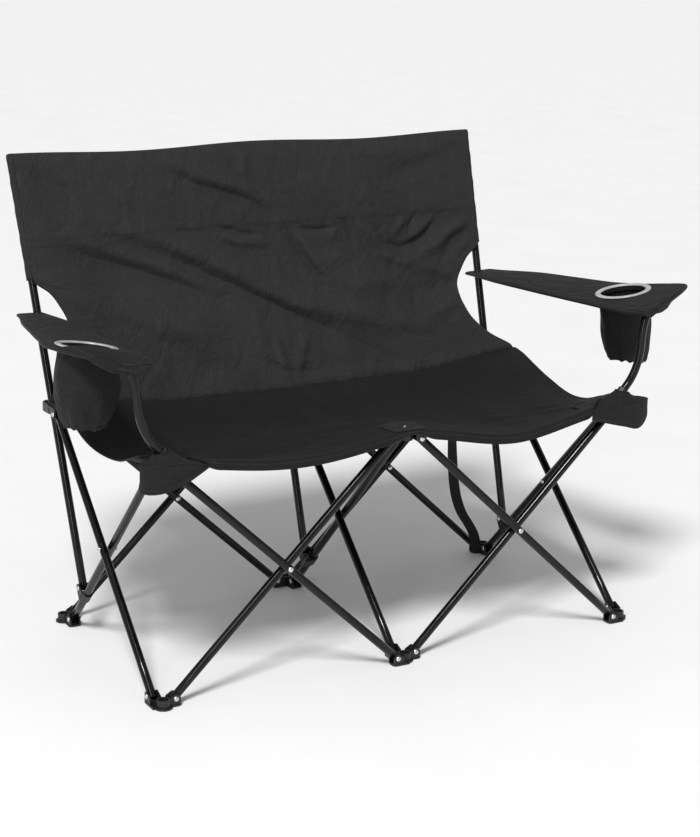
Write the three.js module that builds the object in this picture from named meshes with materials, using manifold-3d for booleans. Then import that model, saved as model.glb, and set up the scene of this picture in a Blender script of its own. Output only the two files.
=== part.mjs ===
// Folding camping loveseat: a two-bay scissor frame of steel tube, moulded feet, hubs and sliders,
// three posts, and a cloth seat, back, armrests and cup pouches. Millimetres, +Z up, front towards -Y.
import * as THREE from "three";
import { mergeVertices } from "three/addons/utils/BufferGeometryUtils.js";
import Module from "manifold-3d";

const wasm = await Module();
wasm.setup();

// Scissor frame
const scissorSpan = 452; // level distance between the two end pivots of a tube, in both directions
const pivotRise = 428; // height between the two end pivots of a tube
const footPivotHeight = 14;
const pivotOffsetX = 24; // from the middle of a fitting to its pivots in the front and rear bays
const pivotOffsetY = 34; // and to its pivots in the side and centre bays
const tubeRadius = 8;
const tubeWall = 1;
const tubeGap = 0.6; // between the two tubes at a crossing
const tubeOverrun = 6; // past an end pivot
const foldedLean = THREE.MathUtils.degToRad(8); // of the tubes from upright when the frame is closed

// Clearances between pieces
const seatGap = 0.3;
const overcut = 2; // by which a cutting body runs past the faces that it cuts
const weld = 1e-4; // within which two corners of a surface are one

// Rivets
const rivetRadius = 2.5;
const rivetHeadRadius = 5;
const rivetHeadHeight = 2.4;

// Moulded feet, hubs and sliders
const baseThickness = 3.5;
const cheekWall = 3;
const cheekRadius = 9;
const padFlange = 1.4; // of the base beyond the cheeks
const padEnd = 10.5; // of the base beyond the pivot
const bossRadius = 12.6;
const bossWall = 3;
const bossHeight = 17;
const baseRadius = 17;

// Posts and their brackets
const postHingeAlong = 106; // from the rear foot pivot, along the tube that carries the bracket
const postHingeOffset = 19; // from the axis of that tube
const postTopHeight = 925;
const postRingBehind = 2; // of the slider's ring behind the line of the rear feet
const postRingOutside = 4.5; // of a side slider's ring outside the line of the side feet
const bracketWall = 3;
const bracketLength = 26;
const bracketEarRadius = 8;
const bracketEarGap = 9; // half the space between the ears, which a leaning post stands in
const sliderWall = 3.4;
const sliderHeight = 22;
const sliderPlay = 0.6;
const sliderSlotBack = 12; // by which the slot lets the post swing back as the frame folds
const sliderSlotSide = 3.6; // by which a side slider's slot lets its post swing out
const sliderLug = 9; // of the pointed lug behind the slot
const sliderRibDepth = 1.6;
const sliderRibHeight = 2.4;
const capLength = 12;
const capDome = 3;

// Arm tubes
const armTubeInset = 20; // from the middle of a front corner hub, towards the seat
const armTubeClear = 21; // above the hub's pivots
const armTubeReach = 98;
const armTubeRise = 175;
const armTubeOutShares = [0, 0.1, 0.2, 0.3, 0.42, 0.5, 0.545, 0.57, 0.6, 0.68, 0.83, 1];
const armTubeRiseShares = [0, 0.063, 0.126, 0.19, 0.3, 0.42, 0.55, 0.68, 0.8, 0.92, 0.985, 1];
const socketWall = 2.6;
const socketLength = 26;

// Armrests, cup rings and pouches
const armThickness = 6;
const armCrown = 2.5;
const armAboveTube = 14; // of the armrest's middle line at its front edge above the arm tube's end
const armRearDrop = 28; // of its rear edge below that
const armFrontReach = 41; // in front of the line of the front feet
const armRearReach = 79; // behind the line of the rear feet
const armWidth = 182;
const armLevelOutside = 91; // of the armrest's middle line at its front edge outside the corner hub
const armLevelDraw = 60.67; // by which that line runs inwards over the armrest's length
const armInnerShares = [0.08, 0.0, -0.03, -0.05, -0.07, -0.07, -0.02];
const armOuterShares = [0.9, 1.0, 0.77, 0.68, 0.62, 0.55, 0.33];
const armRowShares = [0, 0.09, 0.28, 0.4, 0.6, 0.8, 1];
const armCornerShare = 0.04; // by which the outer front corner lies behind the inner one
const armFrontTiltShare = 0.2; // rise over width at the front, outer edge up
const armRearTiltShare = 0.03;
const cupOutside = 78.5; // of the cup hole's middle outside the corner hub's middle
const cupY = 124;
const cupRadius = 49; // of the hole
const ringFlange = 8;
const ringThickness = 2.4;
const ringCollar = 9;
const ringWall = 1.8;
const pouchWall = 2.2;
const leftPouchDepth = 136;
const rightPouchDepth = 98;
const pouchFlangeWidth = 6;
const pouchRadiusShares = [1, 0.99, 0.95, 0.86, 0.7];
const pouchDepthShares = [0, 0.3, 0.62, 0.86, 1];
const pouchDrawShare = 0.3; // by which the pouch's floor is drawn in towards the arm tube
const pouchPleats = 7;
const pouchPleatDepth = 2;

// Seat and back cloth
const clothThickness = 2.4;
const hemDrop = 17;
const hemFront = 26; // in front of the line of the front feet
const cornerSet = 17; // of the seat's front corners behind the arm tubes
const seamAhead = 60; // of the seam between seat and back in front of the line of the rear feet
const seatRest = 4.6; // of the cloth's middle above the hubs
const seatFrontInset = 44; // of the seat's front corners inside the middles of the corner hubs
const seatRearOutset = 36; // of its rear corners outside them
const seatSagEdge = 32; // of the seat's sides below the hubs' tops
const seatSagMiddle = 62; // of each place's middle
const seatSagCentre = 38;
const seatRearRiseEdge = 15;
const seatRearDropMiddle = 12;
const seatRearDropCentre = 15;
const seatFrontSag = 33;
const seatFlatReach = 38.88; // of the seat's flat front end behind its hem, over the hubs
const seatCrestReach = 250; // from the line between the two places to the middle of each
const seatRidgeDepth = 3;
const seatRidges = 9;
const backWaistInset = 52; // of the back's narrowest place inside them
const backWaistHeight = 606;
const sleeveBottomHeight = 692;
const sleeveWall = 2;
const sleeveTopRise = 9; // of the sleeve above the post's top
const centreSleeveLength = 96;
const backTopSag = 7;
const backRidgeDepth = 3;
const backRidges = 5;
const backRidgeSlant = 4; // the ridges' turn, in radians, from the seam up to the top
const backSeamGap = 0.4;

// Corner pockets, the centre patch and the strap
const pocketStandOff = 3; // in front of the rivets of a front corner hub
const pocketOuter = 54; // from the hub's middle outwards
const pocketRear = 21; // of its rear edge behind the line of the front feet
const pocketDepth = 52;
const pocketThickness = 2;
const pocketSeatShare = 0.9; // of the seat's half width, where the pocket joins its hem
const pocketPlaceShares = [0, 0.12, 0.25, 0.4, 0.55, 0.68, 0.78, 0.88, 1];
const pocketOutShares = [0, 0.13, 0.3, 0.52, 0.76, 0.94, 1, 0.93, 0.79];
const pocketFrontShares = [0.84, 0.96, 1, 1, 0.97, 0.78, 0.5, 0.22, 0];
const pocketDropShares = [0.1, 0.42, 0.82, 1, 0.99, 0.93, 0.9, 0.86, 0.8];
const pocketTopShares = [0, 0.3, 0.75, 1, 1, 0.85, 0.8, 0.9, 1]; // rise of its mouth
const patchWidth = 74;
const patchLength = 66;
const patchThickness = 1.6;
const strapWidth = 25;
const strapThickness = 1.6;
const strapTopDrop = 2.1; // of the strap's top end below the seat
const strapTwist = THREE.MathUtils.degToRad(-35);
// The strap's way down, level places from the middle of the rear right foot and heights from the floor
const strapRoute = [
  [-129, -76, 450],
  [-126, -71, 418],
  [-123, -64, 380],
  [-119, -59, 330],
  [-116, -55, 280],
  [-113, -53, 232],
  [-108, -51, 186],
  [-99, -49, 146],
  [-85, -47, 112],
  [-68, -45, 86],
  [-54, -43, 64],
  [-45, -40, 44],
  [-39, -36, 26],
  [-33, -32, 9],
];

// Fineness of the round forms
const tubeSides = 10;
const boreSides = 6;
const pinSides = 8;
const roundSides = 12;
const ringSides = 20;
const cornerSteps = 3;
const pathSteps = 12;
const seatColumns = 20;
const seatRows = 13;
const backColumns = 20;
const backRows = 12;
const armColumns = 5;
const armRows = 11;
const pocketColumns = 10;
const pocketRows = 3;
const patchCells = 4;
const strapCells = 18;

// Worked out from the sizes above
const bayWidth = scissorSpan + 2 * pivotOffsetX;
const frameDepth = scissorSpan + 2 * pivotOffsetY;
const topPivotHeight = footPivotHeight + pivotRise;
const hubTopHeight = topPivotHeight + footPivotHeight;
const tubePlane = tubeRadius + tubeGap / 2;
const tubeLength = Math.hypot(scissorSpan, pivotRise);
const openLean = Math.atan2(scissorSpan, pivotRise);
const boreRadius = (tubeRadius + seatGap) / Math.cos(Math.PI / tubeSides); // clear of a tube all round
const cheekInner = tubeRadius + seatGap;
const cheekOuter = cheekInner + cheekWall;
const clothTop = hubTopHeight + seatRest;
const seamDepth = frameDepth - seamAhead;
const seatFrontX = bayWidth - seatFrontInset;
const seatRearX = bayWidth + seatRearOutset;
const backWaistX = bayWidth - backWaistInset;
const armInnerX = bayWidth;
const armFrontHeight = topPivotHeight + armTubeClear + armTubeRise + armAboveTube;
const armRearHeight = armFrontHeight - armRearDrop;
const armLength = armFrontReach + frameDepth + armRearReach;
const cupX = bayWidth + cupOutside;

// Finishes
const finishes = {
  steel: new THREE.MeshStandardMaterial({ color: 0x0b0b0c, roughness: 0.22, metalness: 0.6 }),
  plastic: new THREE.MeshStandardMaterial({ color: 0x151516, roughness: 0.5, metalness: 0 }),
  rivet: new THREE.MeshStandardMaterial({ color: 0xd8d8d6, roughness: 0.25, metalness: 1 }),
  ring: new THREE.MeshStandardMaterial({ color: 0xa9abad, roughness: 0.35, metalness: 0 }),
  back: new THREE.MeshStandardMaterial({ color: 0x303030, roughness: 0.9, metalness: 0 }),
  seat: new THREE.MeshStandardMaterial({ color: 0x1e1e1f, roughness: 0.9, metalness: 0 }),
  trim: new THREE.MeshStandardMaterial({ color: 0x262627, roughness: 0.85, metalness: 0 }),
  webbing: new THREE.MeshStandardMaterial({ color: 0x1a1a1b, roughness: 0.8, metalness: 0 }),
};

const chair = new THREE.Group();

// Small helpers
const vec = (x, y, z) => new THREE.Vector3(x, y, z);
const lerp = THREE.MathUtils.lerp;
const smooth = (value, from, to) => THREE.MathUtils.smoothstep(value, from, to);
const axisX = vec(1, 0, 0);
const axisY = vec(0, 1, 0);
const axisZ = vec(0, 0, 1);
const nearlyParallel = 0.95; // the cosine above which two directions count as one

// Reads a value off a smooth curve through the points (places[i], values[i])
function along(places, values, place) {
  let i = 0;
  while (i < places.length - 2 && place > places[i + 1]) i += 1;
  const share = THREE.MathUtils.clamp((place - places[i]) / (places[i + 1] - places[i]), 0, 1);
  const before = values[Math.max(i - 1, 0)];
  const after = values[Math.min(i + 2, values.length - 1)];
  const turnIn = (values[i + 1] - before) / 2;
  const turnOut = (after - values[i]) / 2;
  const square = share * share;
  const cube = square * share;
  return (
    values[i] * (2 * cube - 3 * square + 1) +
    turnIn * (cube - 2 * square + share) +
    values[i + 1] * (3 * square - 2 * cube) +
    turnOut * (cube - square)
  );
}

// A geometry as a solid that can be joined and cut
function solidOf(geometry) {
  const plain = geometry.index ? geometry.toNonIndexed() : geometry;
  const bare = new THREE.BufferGeometry().setAttribute("position", plain.getAttribute("position"));
  const merged = mergeVertices(bare, weld);
  const corners = merged.index.array;
  const kept = [];
  for (let i = 0; i < corners.length; i += 3) {
    const [a, b, c] = [corners[i], corners[i + 1], corners[i + 2]];
    if (a !== b && b !== c && c !== a) kept.push(a, b, c);
  }
  return new wasm.Manifold(
    new wasm.Mesh({
      numProp: 3,
      vertProperties: merged.attributes.position.array,
      triVerts: new Uint32Array(kept),
    }),
  );
}

// The union of several geometries, less the union of others
function joined(parts, cuts = []) {
  let whole = solidOf(parts[0]);
  for (const part of parts.slice(1)) whole = whole.add(solidOf(part));
  for (const cut of cuts) whole = whole.subtract(solidOf(cut));
  const mesh = whole.getMesh();
  const geometry = new THREE.BufferGeometry();
  geometry.setAttribute("position", new THREE.BufferAttribute(new Float32Array(mesh.vertProperties), 3));
  geometry.setIndex(new THREE.BufferAttribute(new Uint32Array(mesh.triVerts), 1));
  return geometry;
}

function addPiece(name, geometry, material) {
  const faceted = geometry.index ? geometry.toNonIndexed() : geometry;
  faceted.computeVertexNormals();
  const mesh = new THREE.Mesh(faceted, material);
  mesh.name = name;
  chair.add(mesh);
  return mesh;
}

// Turns a geometry so that its own Z runs along a direction, and moves it to an origin
function placed(geometry, origin, direction, side = axisX) {
  const z = direction.clone().normalize();
  const hint = Math.abs(z.dot(side)) < nearlyParallel ? side : axisY;
  const y = z.clone().cross(hint).normalize();
  const x = y.clone().cross(z);
  const turn = new THREE.Matrix4().makeBasis(x, y, z).setPosition(origin);
  return geometry.applyMatrix4(turn);
}

function circlePoints(radius, sides) {
  const points = [];
  for (let i = 0; i < sides; i += 1) {
    const angle = (2 * Math.PI * (i + 1 / 2)) / sides;
    points.push(new THREE.Vector2(radius * Math.cos(angle), radius * Math.sin(angle)));
  }
  return points;
}

function ringShape(outer, inner, outerSides, innerSides) {
  const shape = new THREE.Shape(circlePoints(outer, outerSides));
  if (inner > 0) shape.holes.push(new THREE.Path(circlePoints(inner, innerSides)));
  return shape;
}

// A round bar, or a tube where it has an inner radius, between two points
function bar(from, to, outer, inner = 0, outerSides = pinSides, innerSides = boreSides) {
  const direction = to.clone().sub(from);
  const geometry = new THREE.ExtrudeGeometry(ringShape(outer, inner, outerSides, innerSides), {
    depth: direction.length(),
    bevelEnabled: false,
  });
  return placed(geometry, from, direction);
}

function slab(shape, thickness, origin, normal, side) {
  const geometry = new THREE.ExtrudeGeometry(shape, {
    depth: thickness,
    bevelEnabled: false,
    curveSegments: cornerSteps,
  });
  return placed(geometry, origin, normal, side);
}

// A rivet with a domed head at each end, its heads' undersides half a grip from its middle
function rivet(middle, direction, grip) {
  const half = grip / 2;
  const profile = [
    new THREE.Vector2(0, -half - rivetHeadHeight),
    new THREE.Vector2(rivetHeadRadius, -half),
    new THREE.Vector2(rivetRadius, -half),
    new THREE.Vector2(rivetRadius, half),
    new THREE.Vector2(rivetHeadRadius, half),
    new THREE.Vector2(0, half + rivetHeadHeight),
  ];
  const geometry = new THREE.LatheGeometry(profile, pinSides);
  geometry.rotateX(Math.PI / 2);
  return placed(geometry, middle, direction);
}

// The seven scissor bays. A rising tube stands in the foot at the bay's start and ends high at its
// end, and a falling tube crosses it. Each has its own plane, half a crossing's width either side.
const leftX = -bayWidth;
const rightX = bayWidth;
const rearY = frameDepth;
const bays = [
  { name: "front_left", runs: "x", start: leftX, end: 0, line: 0, risingSide: 1 },
  { name: "front_right", runs: "x", start: 0, end: rightX, line: 0, risingSide: 1 },
  { name: "rear_left", runs: "x", start: leftX, end: 0, line: rearY, risingSide: 1 },
  { name: "rear_right", runs: "x", start: 0, end: rightX, line: rearY, risingSide: 1 },
  { name: "left_side", runs: "y", start: 0, end: rearY, line: leftX, risingSide: -1 },
  { name: "centre", runs: "y", start: 0, end: rearY, line: 0, risingSide: -1 },
  { name: "right_side", runs: "y", start: 0, end: rearY, line: rightX, risingSide: 1 },
];

const bayPoint = (bay, place, across, height) =>
  bay.runs === "x" ? vec(place, bay.line + across, height) : vec(bay.line + across, place, height);

// The four pivots of a bay, as tube ends: where each is, in which fitting, and along which tube
function tubesOf(bay) {
  const offset = bay.runs === "x" ? pivotOffsetX : pivotOffsetY;
  const near = bay.start + offset;
  const far = bay.end - offset;
  const rising = bay.risingSide * tubePlane;
  return [
    {
      name: bay.name + "_rising_tube",
      low: bayPoint(bay, near, rising, footPivotHeight),
      high: bayPoint(bay, far, rising, topPivotHeight),
      lowAt: bay.start,
      highAt: bay.end,
      bay,
    },
    {
      name: bay.name + "_falling_tube",
      low: bayPoint(bay, far, -rising, footPivotHeight),
      high: bayPoint(bay, near, -rising, topPivotHeight),
      lowAt: bay.end,
      highAt: bay.start,
      bay,
    },
  ];
}
const tubes = bays.flatMap(tubesOf);
const pinAxisOf = (bay) => (bay.runs === "x" ? axisY : axisX);

function makeTubes() {
  for (const tube of tubes) {
    const direction = tube.high.clone().sub(tube.low).normalize();
    const from = tube.low.clone().addScaledVector(direction, -tubeOverrun);
    const to = tube.high.clone().addScaledVector(direction, tubeOverrun);
    const pin = pinAxisOf(tube.bay);
    const middle = tube.low.clone().lerp(tube.high, 1 / 2);
    const reach = tubeRadius + overcut;
    const holes = [tube.low, middle, tube.high].map((at) =>
      bar(
        at.clone().addScaledVector(pin, -reach),
        at.clone().addScaledVector(pin, reach),
        rivetRadius + seatGap,
      ),
    );
    const body = bar(from, to, tubeRadius, tubeRadius - tubeWall, tubeSides, boreSides);
    addPiece(tube.name, joined([body], holes), finishes.steel);
  }
}

function makeCrossingRivets() {
  for (const bay of bays) {
    const middle = bayPoint(bay, (bay.start + bay.end) / 2, 0, (footPivotHeight + topPivotHeight) / 2);
    const grip = 2 * (tubePlane + tubeRadius + seatGap);
    addPiece(bay.name + "_crossing_rivet", joined([rivet(middle, pinAxisOf(bay), grip)]), finishes.rivet);
  }
}

// One arm of a fitting, made for a foot that stands on its base at z = 0 about its own middle:
// a pad of the base, two cheeks and the rivet that holds the tube's end
function armParts(arm) {
  const runsX = arm.runs === "x";
  const outward = runsX ? vec(Math.sign(arm.at.x), 0, 0) : vec(0, Math.sign(arm.at.y), 0);
  const pin = runsX ? axisY : axisX;
  const distance = Math.abs(runsX ? arm.at.x : arm.at.y);
  const across = runsX ? arm.at.y : arm.at.x;
  const halfPad = cheekOuter + padFlange;
  const pad = new THREE.Shape();
  pad.moveTo(0, -halfPad);
  pad.lineTo(distance + padEnd / 2, -halfPad);
  pad.lineTo(distance + padEnd, -halfPad / 2);
  pad.lineTo(distance + padEnd, halfPad / 2);
  pad.lineTo(distance + padEnd / 2, halfPad);
  pad.lineTo(0, halfPad);
  const middle = pin.clone().multiplyScalar(across);
  const padBody = new THREE.ExtrudeGeometry(pad, {
    depth: baseThickness,
    bevelEnabled: false,
  });
  const padTurn = new THREE.Matrix4().makeBasis(outward, axisZ.clone().cross(outward), axisZ);
  padBody.applyMatrix4(padTurn.setPosition(middle));
  const start = runsX ? bossRadius - bossWall / 2 : tubePlane + tubeRadius + 2 * seatGap;
  const cheek = new THREE.Shape();
  cheek.moveTo(start, 0);
  cheek.lineTo(start, bossHeight - bossWall / 2);
  cheek.absarc(distance, footPivotHeight, cheekRadius, Math.PI / 2, 0, true);
  cheek.lineTo(distance + cheekRadius, 0);
  const sides = [cheekInner, -cheekOuter].map((offset) => {
    const plate = new THREE.ExtrudeGeometry(cheek, {
      depth: cheekWall,
      bevelEnabled: false,
      curveSegments: cornerSteps,
    });
    const normal = outward.clone().cross(axisZ);
    const facing = Math.sign(normal.dot(pin));
    const from = facing > 0 ? offset : -offset;
    const turn = new THREE.Matrix4().makeBasis(outward, axisZ, normal);
    return plate.applyMatrix4(turn.setPosition(middle.clone().addScaledVector(pin, from)));
  });
  const pinBody = rivet(vec(arm.at.x, arm.at.y, footPivotHeight), pin, 2 * cheekOuter);
  return [padBody, ...sides, pinBody];
}

// The arms that a fitting needs for the tube ends that it holds, about its own middle
function armsAt(x, y, high) {
  const arms = [];
  for (const tube of tubes) {
    const end = high ? tube.high : tube.low;
    const place = high ? tube.highAt : tube.lowAt;
    const [level, line] = tube.bay.runs === "x" ? [x, y] : [y, x];
    if (place === level && tube.bay.line === line) {
      arms.push({ runs: tube.bay.runs, at: vec(end.x - x, end.y - y, 0) });
    }
  }
  return arms;
}

function bossParts() {
  const disc = bar(vec(0, 0, 0), vec(0, 0, baseThickness), baseRadius, 0, roundSides);
  const wall = bar(
    vec(0, 0, 0),
    vec(0, 0, bossHeight),
    bossRadius,
    bossRadius - bossWall,
    roundSides,
    roundSides,
  );
  return [disc, wall];
}

function makeFoot(name, x, y) {
  const parts = [...bossParts(), ...armsAt(x, y, false).flatMap(armParts)];
  const foot = joined(parts);
  foot.translate(x, y, 0);
  addPiece(name, foot, finishes.plastic);
}

// A hub or slider hangs upside down: its base is on top, so it is made turned over
function hangingArms(x, y) {
  return armsAt(x, y, true).map((arm) => ({ runs: arm.runs, at: vec(arm.at.x, -arm.at.y, 0) }));
}

function hang(parts, x, y) {
  for (const part of parts) {
    part.rotateX(Math.PI);
    part.translate(x, y, hubTopHeight);
  }
  return parts;
}

// Arm tubes, bent in the plane of the front legs, and the sockets that hold them
function armTubePath(side) {
  const startX = side * (bayWidth - armTubeInset);
  const startZ = topPivotHeight + armTubeClear;
  const points = armTubeOutShares.map((share, i) =>
    vec(startX + side * armTubeReach * share, 0, startZ + armTubeRise * armTubeRiseShares[i]),
  );
  return new THREE.CatmullRomCurve3(points, false, "centripetal");
}

function makeFrontHub(name, x, side) {
  const parts = hang([...bossParts(), ...hangingArms(x, 0).flatMap(armParts)], x, 0);
  const cuts = [];
  if (side !== 0) {
    const path = armTubePath(side);
    const start = path.getPoint(0);
    const lean = path.getTangent(0);
    const floorPoint = start.clone().addScaledVector(lean, -socketWall - seatGap);
    const mouth = start.clone().addScaledVector(lean, socketLength - socketWall);
    parts.push(bar(floorPoint, mouth, tubeRadius + seatGap + socketWall, 0, tubeSides));
    const stem = new THREE.Shape();
    const stemHalf = tubeRadius + socketWall / 2;
    stem.moveTo(-stemHalf, 0);
    stem.lineTo(stemHalf, 0);
    stem.lineTo(stemHalf, armTubeClear - footPivotHeight + baseThickness);
    stem.lineTo(-stemHalf, armTubeClear - footPivotHeight + baseThickness);
    const stemAt = vec(start.x - (side * stemHalf) / 2, cheekWall, hubTopHeight - baseThickness);
    parts.push(slab(stem, 2 * cheekWall, stemAt, axisY.clone().negate(), axisX));
    const bottom = start.clone().addScaledVector(lean, -seatGap);
    cuts.push(bar(bottom, mouth.clone().addScaledVector(lean, overcut), boreRadius, 0, tubeSides));
  }
  addPiece(name, joined(parts, cuts), finishes.plastic);
}

function makeArmTube(name, side) {
  const path = armTubePath(side);
  const geometry = new THREE.ExtrudeGeometry(
    ringShape(tubeRadius, tubeRadius - tubeWall, tubeSides, boreSides),
    { steps: pathSteps, extrudePath: path, bevelEnabled: false },
  );
  addPiece(name, joined([geometry]), finishes.steel);
}

// The posts: each hinges on a bracket that the tube to the rear foot carries, and passes through
// the ring of its slider, which lies behind the line of the rear feet
const posts = [
  { name: "left", side: -1, x: leftX, hingeX: leftX + tubePlane, ringX: leftX - postRingOutside },
  { name: "centre", side: 0, x: 0, hingeX: 0, ringX: 0 },
  { name: "right", side: 1, x: rightX, hingeX: rightX - tubePlane, ringX: rightX + postRingOutside },
];

function hingeFrom(post, lean) {
  const level = -postHingeAlong * Math.sin(lean) + postHingeOffset * Math.cos(lean);
  const height = postHingeAlong * Math.cos(lean) + postHingeOffset * Math.sin(lean);
  return vec(post.hingeX, rearY - pivotOffsetY + level, footPivotHeight + height);
}

function postLine(post, lean) {
  const hinge = hingeFrom(post, lean);
  const height = footPivotHeight + tubeLength * Math.cos(lean);
  const ring = vec(post.ringX, rearY + postRingBehind, height);
  return { hinge, direction: ring.sub(hinge).normalize() };
}

// The hinge's axis takes the post from its place on the open frame to its place on the closed one
function hingeAxis(post) {
  const open = postLine(post, openLean).direction;
  const closed = postLine(post, foldedLean).direction;
  const onTube = closed.applyAxisAngle(axisX, openLean - foldedLean);
  return open.clone().cross(onTube).normalize();
}

function postAt(post, height) {
  const { hinge, direction } = postLine(post, openLean);
  return hinge.clone().addScaledVector(direction, (height - hinge.z) / direction.z);
}

function makePost(post) {
  const { hinge, direction } = postLine(post, openLean);
  const from = hinge.clone().addScaledVector(direction, -tubeOverrun);
  const to = postAt(post, postTopHeight);
  const pin = hingeAxis(post);
  const reach = tubeRadius + overcut;
  const hole = bar(
    hinge.clone().addScaledVector(pin, -reach),
    hinge.clone().addScaledVector(pin, reach),
    rivetRadius + seatGap,
  );
  const body = bar(from, to, tubeRadius, tubeRadius - tubeWall, tubeSides, boreSides);
  addPiece(post.name + "_post", joined([body], [hole]), finishes.steel);
}

function makePostCap(post) {
  const { direction } = postLine(post, openLean);
  const top = postAt(post, postTopHeight);
  const plug = tubeRadius * Math.cos(Math.PI / boreSides) - tubeWall - seatGap;
  const shoulderShare = 0.75;
  const profile = [
    new THREE.Vector2(0, -capLength),
    new THREE.Vector2(plug, -capLength),
    new THREE.Vector2(plug, seatGap),
    new THREE.Vector2(tubeRadius, seatGap),
    new THREE.Vector2(tubeRadius * shoulderShare, capDome * shoulderShare),
    new THREE.Vector2(0, capDome),
  ];
  const geometry = new THREE.LatheGeometry(profile, tubeSides);
  geometry.rotateX(Math.PI / 2);
  addPiece(post.name + "_post_cap", joined([placed(geometry, top, direction)]), finishes.plastic);
}

// The bracket: a saddle round the tube to the rear foot, with two ears and the post's rivet
function makeBracket(post) {
  const carrierX = post.side === 0 ? tubePlane : post.hingeX;
  const foot = vec(carrierX, rearY - pivotOffsetY, footPivotHeight);
  const up = vec(0, -Math.sin(openLean), Math.cos(openLean));
  const out = vec(0, Math.cos(openLean), Math.sin(openLean));
  const middle = foot.clone().addScaledVector(up, postHingeAlong);
  const saddleOuter = tubeRadius + seatGap + bracketWall;
  const from = middle.clone().addScaledVector(up, -bracketLength / 2);
  const to = middle.clone().addScaledVector(up, bracketLength / 2);
  const saddle = bar(from, to, saddleOuter, 0, roundSides);
  const bore = bar(
    from.clone().addScaledVector(up, -overcut),
    to.clone().addScaledVector(up, overcut),
    tubeRadius + seatGap,
    0,
    tubeSides,
  );
  const ear = new THREE.Shape();
  ear.moveTo(-bracketLength / 2, 0);
  ear.lineTo(-bracketEarRadius, postHingeOffset);
  ear.absarc(0, postHingeOffset, bracketEarRadius, Math.PI, 0, true);
  ear.lineTo(bracketLength / 2, 0);
  const earTurn = new THREE.Matrix4().makeBasis(up, out, up.clone().cross(out));
  const ears = [bracketEarGap, -bracketEarGap - bracketWall].map((offset) => {
    const plate = new THREE.ExtrudeGeometry(ear, {
      depth: bracketWall,
      bevelEnabled: false,
      curveSegments: cornerSteps,
    });
    const normal = up.clone().cross(out);
    const base = vec(post.hingeX, middle.y, middle.z).addScaledVector(normal, offset);
    return plate.applyMatrix4(earTurn.clone().setPosition(base));
  });
  const hinge = hingeFrom(post, openLean);
  const pin = rivet(hinge, hingeAxis(post), 2 * (bracketEarGap + bracketWall));
  const window = new THREE.BoxGeometry(2 * bracketEarGap, 2 * saddleOuter, bracketLength + 2 * overcut);
  window.translate(0, saddleOuter + tubeRadius * Math.SQRT1_2, 0);
  window.applyMatrix4(
    new THREE.Matrix4().makeBasis(axisX, out, up).setPosition(vec(post.hingeX, middle.y, middle.z)),
  );
  const parts = [saddle, ...ears];
  const saddled = [...parts];
  if (post.side === 0) saddled.push(bracketWeb(middle, up, out, saddleOuter));
  const cut = joined(saddled, [bore, window]);
  addPiece(post.name + "_post_bracket", joined([cut, pin]), finishes.plastic);
}

// The centre post stands between the two centre tubes, so its bracket reaches sideways to its tube
function bracketWeb(middle, up, out, saddleOuter) {
  const width = tubePlane + bracketEarGap + bracketWall;
  const web = new THREE.BoxGeometry(width, bracketWall, bracketLength);
  const turn = new THREE.Matrix4().makeBasis(axisX, out, up);
  const at = vec(width / 2 - bracketEarGap - bracketWall, middle.y, middle.z);
  web.applyMatrix4(turn.setPosition(at.addScaledVector(out, -saddleOuter + bracketWall / 2)));
  return web;
}

// A slider: a hub's arms round a ring that runs on the post, with the slot that lets the post swing
// back on its bracket half-way through the fold, and a ribbed lug behind it
function makeSlider(post) {
  const arms = hang(hangingArms(post.x, rearY).flatMap(armParts), post.x, rearY);
  const lean = postLine(post, openLean).direction;
  const ringAt = vec(post.ringX, rearY + postRingBehind, 0);
  const leanRoom = (lean.y / lean.z) * (sliderHeight / 2);
  const sideRoom = post.side === 0 ? 0 : sliderSlotSide;
  const halfWidth = tubeRadius + sliderPlay;
  const front = -tubeRadius - leanRoom - sliderPlay;
  const back = tubeRadius + leanRoom + sliderPlay + sliderSlotBack;
  const outer = halfWidth + sliderWall;
  const low = topPivotHeight - sliderHeight / 2 + (hubTopHeight - topPivotHeight) / 2;
  const height = hubTopHeight - low;
  const insideX = -halfWidth - (post.side < 0 ? sideRoom : 0);
  const outsideX = halfWidth + (post.side > 0 ? sideRoom : 0);
  const slot = new THREE.Shape();
  slot.moveTo(insideX, front + halfWidth / 2);
  slot.quadraticCurveTo(insideX, front, 0, front);
  slot.quadraticCurveTo(outsideX, front, outsideX, front + halfWidth / 2);
  slot.lineTo(outsideX, back - halfWidth / 2);
  slot.quadraticCurveTo(outsideX, back, 0, back);
  slot.quadraticCurveTo(insideX, back, insideX, back - halfWidth / 2);
  const shell = new THREE.Shape();
  shell.moveTo(insideX - sliderWall, front);
  shell.lineTo(insideX, front - sliderWall);
  shell.lineTo(outsideX, front - sliderWall);
  shell.lineTo(outsideX + sliderWall, front);
  shell.lineTo(outsideX + sliderWall, back - sliderWall);
  shell.lineTo(outer / 2, back + sliderLug);
  shell.lineTo(-outer / 2, back + sliderLug);
  shell.lineTo(insideX - sliderWall, back - sliderWall);
  const base = vec(ringAt.x, ringAt.y, low);
  const block = slab(shell, height, base, axisZ, axisX);
  const bore = slab(slot, height + 2 * overcut, vec(base.x, base.y, low - overcut), axisZ, axisX);
  const grooves = [];
  const grooveCount = Math.floor(height / (2 * sliderRibHeight)) - 1;
  for (let i = 0; i < grooveCount; i += 1) {
    const groove = new THREE.BoxGeometry(2 * outer + sliderSlotSide, sliderLug, sliderRibHeight);
    const at = back + sliderLug - sliderRibDepth + sliderLug / 2;
    groove.translate(base.x, base.y + at, low + 2 * sliderRibHeight * (i + 1));
    grooves.push(groove);
  }
  addPiece(post.name + "_slider", joined([...arms, block], [bore, ...grooves]), finishes.plastic);
}

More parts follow.
